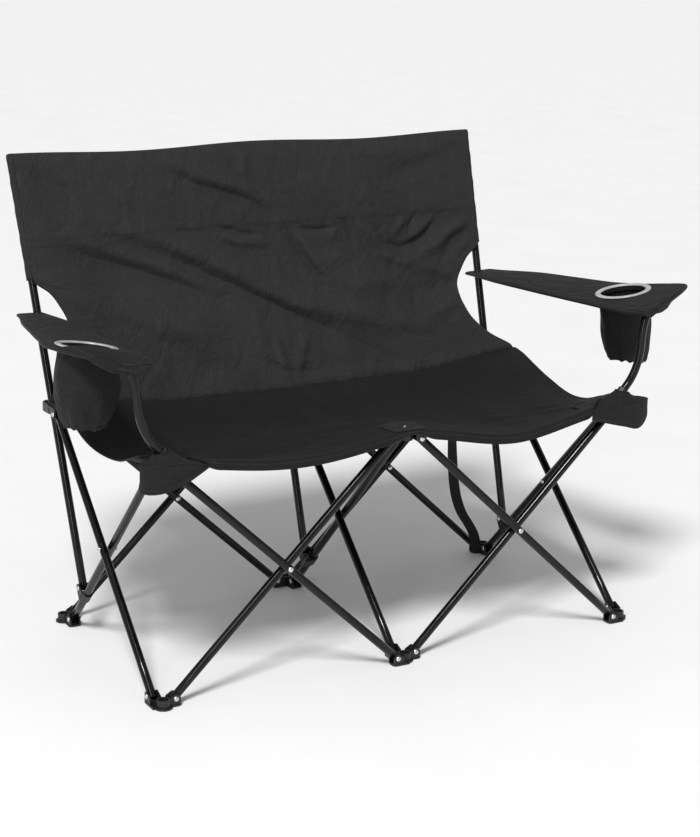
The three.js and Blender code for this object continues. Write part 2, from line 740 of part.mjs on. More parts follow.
// A closed sheet of cloth: one surface, and a second one below it by its thickness
function sheet(columns, rows, surface, thickness) {
  const across = columns + 1;
  const points = [];
  for (let j = 0; j <= rows; j += 1) {
    for (let i = 0; i <= columns; i += 1) points.push(surface(i / columns, j / rows));
  }
  const pointAt = (i, j) =>
    points[THREE.MathUtils.clamp(j, 0, rows) * across + THREE.MathUtils.clamp(i, 0, columns)];
  const lower = [];
  for (let j = 0; j <= rows; j += 1) {
    for (let i = 0; i <= columns; i += 1) {
      const alongColumn = pointAt(i + 1, j).clone().sub(pointAt(i - 1, j));
      const alongRow = pointAt(i, j + 1).clone().sub(pointAt(i, j - 1));
      const normal = alongColumn.cross(alongRow).normalize();
      const depth = typeof thickness === "function" ? thickness(i / columns, j / rows) : thickness;
      lower.push(pointAt(i, j).clone().addScaledVector(normal, -depth));
    }
  }
  const total = points.length;
  const triangles = [];
  const top = (i, j) => j * across + i;
  const under = (i, j) => total + top(i, j);
  for (let j = 0; j < rows; j += 1) {
    for (let i = 0; i < columns; i += 1) {
      triangles.push(top(i, j), top(i + 1, j), top(i + 1, j + 1));
      triangles.push(top(i, j), top(i + 1, j + 1), top(i, j + 1));
      triangles.push(under(i, j), under(i + 1, j + 1), under(i + 1, j));
      triangles.push(under(i, j), under(i, j + 1), under(i + 1, j + 1));
    }
  }
  for (let i = 0; i < columns; i += 1) {
    triangles.push(top(i, 0), under(i, 0), under(i + 1, 0), top(i, 0), under(i + 1, 0), top(i + 1, 0));
    triangles.push(top(i, rows), under(i + 1, rows), under(i, rows));
    triangles.push(top(i, rows), top(i + 1, rows), under(i + 1, rows));
  }
  for (let j = 0; j < rows; j += 1) {
    triangles.push(top(0, j), under(0, j + 1), under(0, j), top(0, j), top(0, j + 1), under(0, j + 1));
    triangles.push(top(columns, j), under(columns, j), under(columns, j + 1));
    triangles.push(top(columns, j), under(columns, j + 1), top(columns, j + 1));
  }
  const geometry = new THREE.BufferGeometry();
  const flat = [...points, ...lower].flatMap((p) => [p.x, p.y, p.z]);
  geometry.setAttribute("position", new THREE.BufferAttribute(new Float32Array(flat), 3));
  geometry.setIndex(triangles);
  return geometry;
}

// The seat's height along three lines from front to rear: its side edge, the middle of each place,
// and the line between the two places
const seatFlatShare = seatFlatReach / (seamDepth + hemFront);
const seatDepthShares = [0, seatFlatShare, 2 * seatFlatShare, 0.3, 0.45, 0.65, 0.85, 1];
const seatEdgeSagShares = [0, 0, 0.1, 0.7, 1, 0.75, 0.2, 0];
const seatMiddleSagShares = [0, 0.1, 0.3, 0.62, 0.85, 1, 0.6, 0];
const seatCentreSagShares = [0, 0, 0.02, 0.35, 0.7, 1, 0.7, 0];

function seatHeight(share, widthShare) {
  const edgeEnd = clothTop + seatRearRiseEdge;
  const edge =
    lerp(clothTop, edgeEnd, smooth(share, 1 / 2, 1)) -
    seatSagEdge * along(seatDepthShares, seatEdgeSagShares, share);
  const middleFront = clothTop - seatFrontSag;
  const middleEnd = clothTop - seatRearDropMiddle;
  const middle =
    lerp(middleFront, middleEnd, smooth(share, 0, 1)) -
    (seatSagMiddle - seatFrontSag) * along(seatDepthShares, seatMiddleSagShares, share);
  const centreEnd = clothTop - seatRearDropCentre;
  const centre =
    lerp(clothTop, centreEnd, smooth(share, 0, 1)) -
    seatSagCentre * along(seatDepthShares, seatCentreSagShares, share);
  const aside = Math.abs(widthShare);
  const inner = smooth(aside, 0, seatCrestReach / bayWidth);
  const outer = smooth(aside, 1 / 2, 1);
  return lerp(lerp(centre, middle, inner), edge, outer);
}

const seatWidthShares = [0, 0.09, 0.2, 0.4, 0.6, 0.8, 1];
const seatSpreadShares = [0, 0.62, 0.68, 0.74, 0.85, 0.87, 1];

function seatPoint(u, v) {
  const widthShare = 2 * u - 1;
  const aside = Math.abs(widthShare);
  const hemShare = 0.07;
  const onHem = v < hemShare;
  const share = onHem ? 0 : (v - hemShare) / (1 - hemShare);
  const spread = along(seatWidthShares, seatSpreadShares, share);
  const halfWidth = lerp(seatFrontX, seatRearX, spread);
  const cornerStartShare = 0.86;
  const front = lerp(-hemFront, cornerSet, smooth(aside, cornerStartShare, 1));
  const y = lerp(front, seamDepth, share);
  const drop = onHem ? hemDrop * (1 - v / hemShare) * (1 - smooth(aside, cornerStartShare, 1)) : 0;
  const nearCentreShare = 0.16;
  const centreLiftShare = 0.45;
  const centreLift = 1 - centreLiftShare * (1 - smooth(aside, 0, nearCentreShare));
  const ripple =
    seatRidgeDepth * Math.sin(Math.PI * share) ** 2 * Math.sin(seatRidges * Math.PI * widthShare + share);
  const z = seatHeight(share, widthShare) - drop * centreLift - Math.abs(ripple) * smooth(share, 0, 1 / 2);
  return vec(halfWidth * widthShare, y, z + clothThickness / 2);
}

function makeSeat() {
  addPiece("seat", joined([sheet(seatColumns, seatRows, seatPoint, clothThickness)]), finishes.seat);
}

// The back: it follows the posts above the sleeves' lower ends, and bends forward to the seam below
const backHeightShares = [0, 0.05, 0.12, 0.22, 0.34, 0.5, 0.55, 0.7, 1];
const backForwardShares = [1, 0.83, 0.66, 0.48, 0.27, 0.04, 0, 0, 0];

function backEdgeX(height) {
  const waistDrop = seatRearX - backWaistX;
  const bottom = clothTop + seatRearRiseEdge;
  const places = [bottom, lerp(bottom, backWaistHeight, 1 / 4), lerp(bottom, backWaistHeight, 1 / 2)];
  const flareShare = 0.45;
  const nearShare = 0.12;
  const waistTop = lerp(backWaistHeight, sleeveBottomHeight, 1 / 5);
  const sleeveX = postAt(posts[2], sleeveBottomHeight).x;
  const top = postAt(posts[2], postTopHeight);
  places.push(backWaistHeight, waistTop, sleeveBottomHeight, top.z);
  const values = [
    seatRearX,
    backWaistX + waistDrop * flareShare,
    backWaistX + waistDrop * nearShare,
    backWaistX,
    backWaistX,
    sleeveX,
    top.x,
  ];
  return height > sleeveBottomHeight ? postAt(posts[2], height).x : along(places, values, height);
}

function backPoint(u, v) {
  const widthShare = 1 - 2 * u;
  const bottom = seatHeight(1, widthShare) + clothThickness / 2 + backSeamGap;
  const middleHang = Math.sin(Math.PI * widthShare) ** 2;
  const top = postTopHeight + sleeveTopRise - backTopSag * middleHang;
  const height = lerp(bottom, top, v);
  const line = postAt(posts[1], height).y - tubeRadius - seatGap - sleeveWall;
  const seamLine = postAt(posts[1], bottom).y - tubeRadius - seatGap - sleeveWall;
  const forward = (seamLine - seamDepth) * along(backHeightShares, backForwardShares, v);
  const soft = 1 - smooth(height, sleeveBottomHeight, postTopHeight);
  const wave = Math.sin(backRidges * Math.PI * widthShare + backRidgeSlant * v);
  const ripple = backRidgeDepth * soft * wave * Math.sin(Math.PI * v);
  const edge = backEdgeX(height);
  return vec(edge * widthShare, line - forward - Math.abs(ripple), height);
}

function makeBack() {
  const parts = [sheet(backColumns, backRows, backPoint, clothThickness)];
  const cuts = [];
  for (const post of posts) {
    const { direction } = postLine(post, openLean);
    const low = post.side === 0 ? postTopHeight - centreSleeveLength : sleeveBottomHeight;
    const from = postAt(post, low);
    const to = postAt(post, postTopHeight + sleeveTopRise);
    const inner = tubeRadius + seatGap;
    parts.push(bar(from, to, inner + sleeveWall, 0, roundSides));
    const roof = to.clone().addScaledVector(direction, -sleeveWall);
    cuts.push(bar(from.clone().addScaledVector(direction, -overcut), roof, inner, 0, tubeSides));
  }
  addPiece("back", joined(parts, cuts), finishes.back);
}

// Armrests: a padded panel that rises outwards and falls to the rear, with the cup's hole and a
// passage for the post
function armSurface(x, y) {
  const share = (y + armFrontReach) / armLength;
  const middleX = armInnerX + armLevelOutside - armLevelDraw * share;
  const tilt = lerp(armFrontTiltShare, armRearTiltShare, THREE.MathUtils.clamp(share, 0, 1));
  return lerp(armFrontHeight, armRearHeight, share) + tilt * (Math.abs(x) - middleX);
}

function armPoint(side, u, v) {
  const outShare = side > 0 ? u : 1 - u;
  const inner = armInnerX + armWidth * along(armRowShares, armInnerShares, v);
  const outer = armInnerX + armWidth * along(armRowShares, armOuterShares, v);
  const x = lerp(inner, outer, outShare);
  const frontShare = armCornerShare * smooth(outShare, 1 / 2, 1) * (1 - v);
  const y = lerp(-armFrontReach, armLength - armFrontReach, v + frontShare);
  const crownEndShare = 0.1;
  const crownEnds = Math.min(1, v / crownEndShare, (1 - v) / crownEndShare);
  const crown = armCrown * Math.sin(Math.PI * outShare) * crownEnds;
  return vec(side * x, y, armSurface(x, y) + armThickness / 2 + crown);
}

function makeArmrest(name, side) {
  const body = sheet(armColumns, armRows, (u, v) => armPoint(side, u, v), armThickness);
  const hole = bar(
    vec(side * cupX, cupY, armRearHeight - armWidth),
    vec(side * cupX, cupY, armFrontHeight + armWidth),
    cupRadius + seatGap,
    0,
    ringSides,
  );
  const post = posts[side < 0 ? 0 : 2];
  const passage = bar(
    postAt(post, armRearHeight - armWidth),
    postAt(post, armRearHeight + armWidth),
    tubeRadius + seatGap,
    0,
    tubeSides,
  );
  addPiece(name, joined([body], [hole, passage]), finishes.trim);
}

// The cup's place: its middle on the armrest, and the armrest's slope there
function cupFrame(side) {
  const step = cupRadius;
  const here = armSurface(cupX, cupY);
  const slopeX = (armSurface(cupX + step, cupY) - here) / step;
  const slopeY = (armSurface(cupX, cupY + step) - here) / step;
  const normal = vec(-side * slopeX, -slopeY, 1).normalize();
  return { middle: vec(side * cupX, cupY, here), normal };
}

function makeCupRing(name, side) {
  const { middle, normal } = cupFrame(side);
  const lift = armThickness / 2 + armCrown + seatGap;
  const outer = cupRadius + ringFlange;
  const inner = cupRadius - ringWall;
  const profile = [
    new THREE.Vector2(inner - ringWall, lift - ringCollar),
    new THREE.Vector2(inner, lift - ringCollar),
    new THREE.Vector2(inner, lift),
    new THREE.Vector2(outer, lift),
    new THREE.Vector2(outer - ringWall, lift + ringThickness),
    new THREE.Vector2(inner - ringWall, lift + ringThickness),
    new THREE.Vector2(inner - ringWall, lift - ringCollar),
  ];
  const geometry = new THREE.LatheGeometry(profile, ringSides);
  geometry.rotateX(Math.PI / 2);
  addPiece(name, joined([placed(geometry, middle, normal)]), finishes.ring);
}

// A pouch hangs from the underside of the armrest, drawn in towards the arm tube, with soft pleats
function makePouch(name, side, depth) {
  const rim = cupFrame(side);
  const outerAt = (k, angle, inset) => {
    const pleat = pouchPleatDepth * pouchDepthShares[k] * Math.cos(pouchPleats * angle);
    const radius = (cupRadius + pouchWall) * pouchRadiusShares[k] - pleat - inset;
    const drawn = pouchDrawShare * cupRadius * pouchDepthShares[k];
    const x = side * cupX - side * drawn + radius * Math.cos(angle);
    const y = cupY - drawn / 2 + radius * Math.sin(angle);
    return [x, y];
  };
  const topAt = (x, y) => armSurface(Math.abs(x), y) - armThickness / 2 - seatGap;
  const rings = [];
  const levels = pouchDepthShares.length;
  const ringAt = (k, inset, lift) => {
    const ring = [];
    for (let i = 0; i < roundSides; i += 1) {
      const angle = (2 * Math.PI * i) / roundSides;
      const [x, y] = outerAt(k, angle, inset);
      const top = topAt(x, y);
      ring.push(vec(x, y, lerp(top, rim.middle.z - depth, pouchDepthShares[k]) + lift));
    }
    return ring;
  };
  rings.push(ringAt(0, -pouchFlangeWidth, 0));
  rings.push(ringAt(0, -pouchFlangeWidth, -pouchWall));
  rings.push(ringAt(0, 0, -pouchWall));
  for (let k = 1; k < levels; k += 1) rings.push(ringAt(k, 0, 0));
  const outerCount = rings.length;
  for (let k = levels - 1; k >= 0; k -= 1) {
    rings.push(ringAt(k, pouchWall, k === levels - 1 ? pouchWall : 0));
  }
  const points = rings.flat();
  const triangles = [];
  const at = (r, i) => r * roundSides + (i % roundSides);
  for (let r = 0; r < rings.length; r += 1) {
    const next = (r + 1) % rings.length;
    if (r === outerCount - 1) continue;
    for (let i = 0; i < roundSides; i += 1) {
      triangles.push(at(r, i), at(next, i), at(next, i + 1));
      triangles.push(at(r, i), at(next, i + 1), at(r, i + 1));
    }
  }
  for (const [ring, facing] of [
    [outerCount - 1, 1],
    [outerCount, -1],
  ]) {
    const middle = new THREE.Vector3();
    for (const point of rings[ring]) middle.addScaledVector(point, 1 / roundSides);
    const centre = points.push(middle) - 1;
    for (let i = 0; i < roundSides; i += 1) {
      const pair = facing > 0 ? [at(ring, i), centre] : [centre, at(ring, i)];
      triangles.push(...pair, at(ring, i + 1));
    }
  }
  const geometry = new THREE.BufferGeometry();
  const flat = points.flatMap((p) => [p.x, p.y, p.z]);
  geometry.setAttribute("position", new THREE.BufferAttribute(new Float32Array(flat), 3));
  geometry.setIndex(triangles);
  addPiece(name, joined([geometry]), finishes.trim);
}

// A corner pocket: cloth from the seat's hem round the front and the outer end of a front corner hub
function makePocket(name, side) {
  const seam = seatPoint((1 + pocketSeatShare) / 2, 0);
  const frontY = -tubePlane - cheekOuter - rivetHeadHeight - pocketStandOff;
  const low = seam.z - seatGap;
  const surface = (u, v) => {
    const share = side > 0 ? u : 1 - u;
    const x = lerp(seam.x, bayWidth + pocketOuter, along(pocketPlaceShares, pocketOutShares, share));
    const y = lerp(pocketRear, frontY, along(pocketPlaceShares, pocketFrontShares, share));
    const top = lerp(low, hubTopHeight, along(pocketPlaceShares, pocketTopShares, share));
    const drop = pocketDepth * along(pocketPlaceShares, pocketDropShares, share);
    return vec(side * x, share > 0 ? y : seam.y, top - drop * (1 - v));
  };
  addPiece(name, joined([sheet(pocketColumns, pocketRows, surface, pocketThickness)]), finishes.trim);
}

// The middle of the seat's cloth over a place behind its hem
function seatOver(x, y) {
  const share = (y + hemFront) / (seamDepth + hemFront);
  const halfWidth = lerp(seatFrontX, seatRearX, along(seatWidthShares, seatSpreadShares, share));
  return seatHeight(share, x / halfWidth);
}

// The patch over the front centre hub, on top of the seat
function makePatch() {
  const surface = (u, v) => {
    const x = patchWidth * (u - 1 / 2);
    const y = lerp(-hemFront + clothThickness, patchLength - hemFront, v);
    return vec(x, y, seatOver(x, y) + clothThickness / 2 + patchThickness + seatGap);
  };
  addPiece("seat_patch", joined([sheet(patchCells, patchCells, surface, patchThickness)]), finishes.trim);
}

// The strap: slack webbing from below the rear of the seat to the rear right foot, half twisted
function makeStrap() {
  const route = strapRoute.map(([x, y, z]) => vec(rightX + x, rearY + y, z));
  const top = route[0];
  const edges = [-strapWidth / 2, strapWidth / 2].map((side) => seatOver(top.x + side, top.y));
  top.z = Math.min(...edges) - clothThickness / 2 - seatGap - strapTopDrop;
  const path = new THREE.CatmullRomCurve3(route);
  const surface = (u, v) => {
    const turn = strapTwist * smooth(v, 1 / 2, 1);
    const across = vec(Math.cos(turn), -Math.sin(turn), 0).multiplyScalar(strapWidth * (u - 1 / 2));
    return path.getPointAt(1 - v).add(across);
  };
  addPiece("strap", joined([sheet(1, strapCells, surface, strapThickness)]), finishes.webbing);
}

makeTubes();
makeCrossingRivets();
const columns = [
  ["left", leftX],
  ["centre", 0],
  ["right", rightX],
];
for (const [name, x] of columns) {
  makeFoot("front_" + name + "_foot", x, 0);
  makeFoot("rear_" + name + "_foot", x, rearY);
  makeFrontHub("front_" + name + "_hub", x, Math.sign(x));
}
for (const post of posts) {
  makePost(post);
  makePostCap(post);
  makeBracket(post);
  makeSlider(post);
}
for (const [name, side, depth] of [
  ["left", -1, leftPouchDepth],
  ["right", 1, rightPouchDepth],
]) {
  makeArmTube(name + "_arm_tube", side);
  makeArmrest(name + "_armrest", side);
  makeCupRing(name + "_cup_ring", side);
  makePouch(name + "_cup_pouch", side, depth);
  makePocket("front_" + name + "_pocket", side);
}
makeSeat();
makeBack();
makePatch();
makeStrap();

// The origin lies on the ground, below the middle of the whole chair
const extent = new THREE.Box3().setFromObject(chair);
chair.position.y = -(extent.min.y + extent.max.y) / 2;

export default chair;
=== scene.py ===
import math

import bpy
import numpy as np
from mathutils import Matrix, Vector


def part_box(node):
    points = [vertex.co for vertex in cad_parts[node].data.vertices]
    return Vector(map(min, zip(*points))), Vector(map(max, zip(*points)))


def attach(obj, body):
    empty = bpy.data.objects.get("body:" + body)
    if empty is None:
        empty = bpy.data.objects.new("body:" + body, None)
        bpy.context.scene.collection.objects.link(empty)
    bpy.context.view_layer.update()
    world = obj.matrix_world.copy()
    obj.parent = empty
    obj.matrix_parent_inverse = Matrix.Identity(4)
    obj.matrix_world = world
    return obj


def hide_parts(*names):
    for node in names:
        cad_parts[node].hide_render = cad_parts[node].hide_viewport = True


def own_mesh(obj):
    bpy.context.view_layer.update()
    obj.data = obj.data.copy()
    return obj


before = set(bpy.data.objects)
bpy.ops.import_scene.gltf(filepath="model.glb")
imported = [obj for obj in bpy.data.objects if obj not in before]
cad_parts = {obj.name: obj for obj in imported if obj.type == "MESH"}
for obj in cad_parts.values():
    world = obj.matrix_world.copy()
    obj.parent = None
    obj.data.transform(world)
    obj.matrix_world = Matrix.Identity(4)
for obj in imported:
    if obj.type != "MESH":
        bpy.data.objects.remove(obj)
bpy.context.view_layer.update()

# The looks of a folding camping loveseat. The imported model's frame is in metres; the sizes here are
# in millimetres, with y = 0 on the line of the front feet, and mesh_of turns them into metres.
MM = 0.001
rivet_low, rivet_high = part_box("front_left_crossing_rivet")
FRONT_LINE = (rivet_low.y + rivet_high.y) / 2

# Sizes shared with the CAD model
BAY, DEPTH = 500.0, 520.0
SPAN, FOOT_PIVOT, TOP_PIVOT = 452.0, 14.0, 442.0
HUB_TOP = 456.0
OFFSET_X, OFFSET_Y = 24.0, 34.0
TUBE_PLANE, TUBE_R, WALL, RIM = 8.3, 8.0, 1.0, 0.25
CHEEK_OUTER = 11.3
OVERRUN = 6.0
OPEN_LEAN = math.atan2(SPAN, TOP_PIVOT - FOOT_PIVOT)
FOLDED_LEAN = math.radians(8)
TUBE_LENGTH = math.hypot(SPAN, TOP_PIVOT - FOOT_PIVOT)
POST_TOP, HINGE_UP, HINGE_OFF = 925.0, 106.0, 19.0
CLOTH = 2.4
CLOTH_TOP = HUB_TOP + 4.6
SEAM_DEPTH, HEM_Y = 460.0, -26.0
SEAT_FRONT_X, SEAT_REAR_X = 456.0, 536.0
SLEEVE_BOTTOM = 692.0
ARM_FRONT, ARM_LENGTH, ARM_WIDTH = -41.0, 640.0, 182.0
ARM_FRONT_Z, ARM_REAR_Z, ARM_HALF = 652, 624, 3.0
CUP, CUP_R = (578.5, 124.0), 49.0
GAP = 0.3
SIDES = (("left", -1), ("right", 1))

# Material slots of the cloth pieces
BINDING, THREAD = 1, 2


def table(places, values, place):
    """A smooth curve through the points (places[i], values[i]), read at each place."""
    places, values, place = (np.asarray(a, float) for a in (places, values, place))
    i = np.clip(np.searchsorted(places, place, side="left") - 1, 0, len(places) - 2)
    share = np.clip((place - places[i]) / (places[i + 1] - places[i]), 0, 1)
    turn_in = (values[i + 1] - values[np.maximum(i - 1, 0)]) / 2
    turn_out = (values[np.minimum(i + 2, len(values) - 1)] - values[i]) / 2
    sq, cu = share ** 2, share ** 3
    return (values[i] * (2 * cu - 3 * sq + 1) + turn_in * (cu - 2 * sq + share)
            + values[i + 1] * (3 * sq - 2 * cu) + turn_out * (cu - sq))


def smooth(x, a, b):
    t = np.clip((np.asarray(x, float) - a) / (b - a), 0, 1)
    return t * t * (3 - 2 * t)


def bell(x, middle, width):
    return np.exp(-((x - middle) / width) ** 2)


def arch(t):
    return np.sin(np.pi * t)


def lerp(a, b, t):
    return a + (b - a) * t


def unit(v):
    """A vector, or each vector of an array, at length one."""
    v = np.asarray(v, float)
    return v / np.maximum(np.linalg.norm(v, axis=-1, keepdims=True), 1e-9)


def run_along(points):
    """The length of a polyline up to each of its points."""
    return np.concatenate([[0], np.cumsum(np.linalg.norm(np.diff(points, axis=0), axis=1))])


def read_along(run, points, at):
    """The places on a polyline, or the values at its points, where its run is at."""
    return np.stack([np.interp(at, run, points[:, k]) for k in range(3)], axis=-1)


def shares_grid(columns, rows):
    """Shares across and along, 0 to 1, at the points of a grid."""
    return np.array(np.meshgrid(np.linspace(0, 1, columns + 1), np.linspace(0, 1, rows + 1)))


def catmull(points, steps):
    """A centripetal Catmull-Rom curve through the points, at even shares of its parameter."""
    p = np.asarray(points, float)
    p = np.vstack([2 * p[0] - p[1], p, 2 * p[-1] - p[-2]])
    out = []
    for s in np.linspace(0, len(points) - 1, steps + 1):
        i = min(int(s), len(points) - 2)
        q = p[i:i + 4]
        apart = np.linalg.norm(np.diff(q, axis=0), axis=1) ** 0.5
        knot = np.concatenate([[0], np.cumsum(np.maximum(apart, 1e-4))])
        at = lerp(knot[1], knot[2], s - i)
        for spans in (((0, 1), (1, 2), (2, 3)), ((0, 2), (1, 3)), ((1, 2),)):
            q = [((knot[b] - at) * q[k] + (at - knot[a]) * q[k + 1]) / (knot[b] - knot[a])
                 for k, (a, b) in enumerate(spans)]
        out.append(q[0])
    return np.array(out)


# --- Meshes
class Parts:
    """Surfaces that become one mesh: points in millimetres, faces, UVs in metres and a wear value."""

    def __init__(self):
        self.points, self.faces, self.slots, self.uvs, self.wear = [], [], [], [], []
        self.count = 0

    def add(self, points, faces, slot=0, uv=None, wear=0.0):
        points = np.reshape(points, (-1, 3))
        self.points.append(points)
        self.faces += [[i + self.count for i in f] for f in faces]
        self.slots += [slot] * len(faces)
        self.uvs.append(np.zeros((len(points), 2)) if uv is None else np.reshape(uv, (-1, 2)))
        self.wear.append(np.broadcast_to(np.ravel(wear), len(points)))
        self.count += len(points)


def placed(name, data):
    obj = bpy.data.objects.new(name, data)
    bpy.context.scene.collection.objects.link(obj)
    return obj


def mesh_of(name, parts, materials, flat_angle=None):
    points = np.concatenate(parts.points) * MM
    points[:, 1] += FRONT_LINE
    mesh = bpy.data.meshes.new(name)
    mesh.from_pydata(points.tolist(), [], parts.faces)
    loops = np.zeros(len(mesh.loops), np.int64)
    mesh.loops.foreach_get("vertex_index", loops)
    uvs = np.concatenate(parts.uvs)[loops]
    mesh.uv_layers.new(name="cloth").data.foreach_set("uv", uvs.astype(np.float32).ravel())
    wear = mesh.attributes.new("wear", "FLOAT", "POINT")
    wear.data.foreach_set("value", np.concatenate(parts.wear).astype(np.float32))
    for material in materials:
        mesh.materials.append(material)
    mesh.polygons.foreach_set("material_index", parts.slots)
    mesh.polygons.foreach_set("use_smooth", [True] * len(mesh.polygons))
    mesh.update()
    if flat_angle is not None:
        mesh.set_sharp_from_angle(angle=math.radians(flat_angle))
    return placed(name, mesh)


def grid_faces(columns, rows, closed=False, turn=False, looped=False):
    """Quads of a grid. Closed joins its last column to its first, and looped its last row to its first."""
    across = columns if closed else columns + 1
    faces = []
    for j in range(rows + looped):
        low, high = j * across, (j + 1) % (rows + 1) * across
        for i in range(columns):
            k = (i + 1) % across
            a, b, c, d = low + i, low + k, high + k, high + i
            faces.append([a, d, c, b] if turn else [a, b, c, d])
    return faces


def sheet_faces(down, across):
    """Faces of a closed sheet: two grids of down by across points, the second under the first."""
    total = down * across
    faces = grid_faces(across - 1, down - 1)
    faces += [[i + total for i in f] for f in grid_faces(across - 1, down - 1, turn=True)]
    for i in range(across - 1):
        a = total - across + i
        faces += [[i, i + total, i + 1 + total, i + 1], [a, a + 1, a + 1 + total, a + total]]
    for a in range(0, total - across, across):
        b = a + across - 1
        faces += [[a, a + across, a + across + total, a + total],
                  [b, b + total, b + across + total, b + across]]
    return faces


def normals_of(grid):
    return unit(np.cross(np.gradient(grid, axis=1), np.gradient(grid, axis=0)))


def flat_uv(grid):
    """UVs in metres along the cloth, from the lengths of its middle row and column."""
    rows, columns = grid.shape[:2]
    runs = np.meshgrid(run_along(grid[rows // 2]), run_along(grid[:, columns // 2]))
    return np.stack(runs, axis=2) * MM


def add_cloth(parts, grid, thickness, wear_width=0.02):
    """A closed sheet: the grid is its outer face, and its other face lies under it by its thickness."""
    uv = flat_uv(grid)
    u, v = uv[..., 0], uv[..., 1]
    edge = np.minimum(np.minimum(u, u.max() - u), np.minimum(v, v.max() - v))
    wear = np.exp(-edge / wear_width)
    both = [grid, grid - normals_of(grid) * thickness]
    parts.add(both, sheet_faces(*grid.shape[:2]), 0, [uv, uv], [wear, wear])


def round_angles(sides):
    return 2 * np.pi * np.arange(sides) / sides


def round_uv(sides, radius, run):
    return np.stack(np.meshgrid(radius * round_angles(sides), run), axis=2) * MM


def spokes(sides, a, b):
    """Unit vectors all round the plane of a and b, or round each plane of many."""
    angle = round_angles(sides)[:, None]
    return np.cos(angle) * a[..., None, :] + np.sin(angle) * b[..., None, :]


def frames_along(path):
    """A direction and two side directions at each point of a path, turning as little as possible."""
    way = unit(np.gradient(path, axis=0))
    side = unit(np.cross(way[0], (0, 0, 1) if abs(way[0][2]) < 0.9 else (0, 1, 0)))
    sides = []
    for w in way:
        side = unit(side - w * np.dot(side, w))
        sides.append(side)
    sides = np.array(sides)
    return way, sides, np.cross(way, sides)


def add_rod(parts, path, radius, sides=12, slot=0):
    """A round rod along a path; radius is one number or one for each point."""
    path = np.asarray(path, float)
    way, a, b = frames_along(path)
    radius = np.broadcast_to(np.asarray(radius, float), len(path))
    last = (len(path) - 1) * sides
    faces = grid_faces(sides, len(path) - 1, closed=True)
    faces += [list(range(sides))[::-1], list(range(last, last + sides))]
    points = path[:, None] + spokes(sides, a, b) * radius[:, None, None]
    parts.add(points, faces, slot, round_uv(sides, radius.mean(), run_along(path)))


def add_pipe(parts, path, sides=40):
    """A tube's wall, closed at both ends: outside, rim, bore and rim again, as one surface."""
    way, a, b = frames_along(path)
    inner = range(1, len(path) - 1)
    bore = TUBE_R - WALL
    stations = [(0, TUBE_R - RIM, 0), (0, TUBE_R, RIM)] + [(k, TUBE_R, 0) for k in inner]
    stations += [(-1, TUBE_R, -RIM), (-1, TUBE_R - RIM, 0), (-1, bore, 0)]
    stations += [(k, bore, 0) for k in reversed(inner)] + [(0, bore, 0)]
    rings = np.array([path[k] + spokes(sides, a[k], b[k]) * radius + way[k] * shift
                      for k, radius, shift in stations])
    faces = grid_faces(sides, len(rings) - 1, closed=True, turn=True, looped=True)
    parts.add(rings, faces, 0, round_uv(sides, TUBE_R, run_along(rings[:, 0])))


def add_lathe(parts, profile, origin, direction, sides=32, slot=0, closed=False):
    """Turns a profile of (radius, height) round a direction through an origin."""
    profile = np.asarray(profile, float)[:, :, None, None]
    z = unit(direction)
    y = unit(np.cross(z, (1, 0, 0) if abs(z[0]) < 0.95 else (0, 1, 0)))
    points = origin + profile[:, 0] * spokes(sides, np.cross(y, z), y) + profile[:, 1] * z
    parts.add(points, grid_faces(sides, len(profile) - 1, closed=True, looped=closed), slot)


# A stitch's sections: where along it, how high, how thick
STITCH = ((-0.5, -0.1, 0.35), (-0.28, 0.34, 1.0), (0.28, 0.34, 1.0), (0.5, -0.1, 0.35))


def add_stitches(parts, path, normals, slot=THREAD, pitch=4.2, length=2.7, width=0.42):
    """A row of thread stitches that lie on a surface along a path."""
    run = run_along(path)
    places = np.arange(pitch / 2, run[-1], pitch)
    middle, n = (read_along(run, values, places) for values in (path, normals))
    way = read_along(run, path, places + 0.5) - middle
    keep = np.linalg.norm(way, axis=1) > 1e-6
    middle, n, way = middle[keep], n[keep], unit(way[keep])
    n = unit(n - way * np.sum(n * way, axis=1, keepdims=True))
    side = np.cross(way, n)
    points = np.stack([
        middle + way * at * length + n * (lift * width + t * width * fat * 0.8) + side * s * width * fat
        for at, lift, fat in STITCH for s, t in ((1, 0), (0, 1), (-1, 0), (0, -1))], axis=1)
    base = grid_faces(4, 3, closed=True) + [[3, 2, 1, 0], [12, 13, 14, 15]]
    parts.add(points, [[k * 16 + i for i in f] for k in range(len(middle)) for f in base], slot)


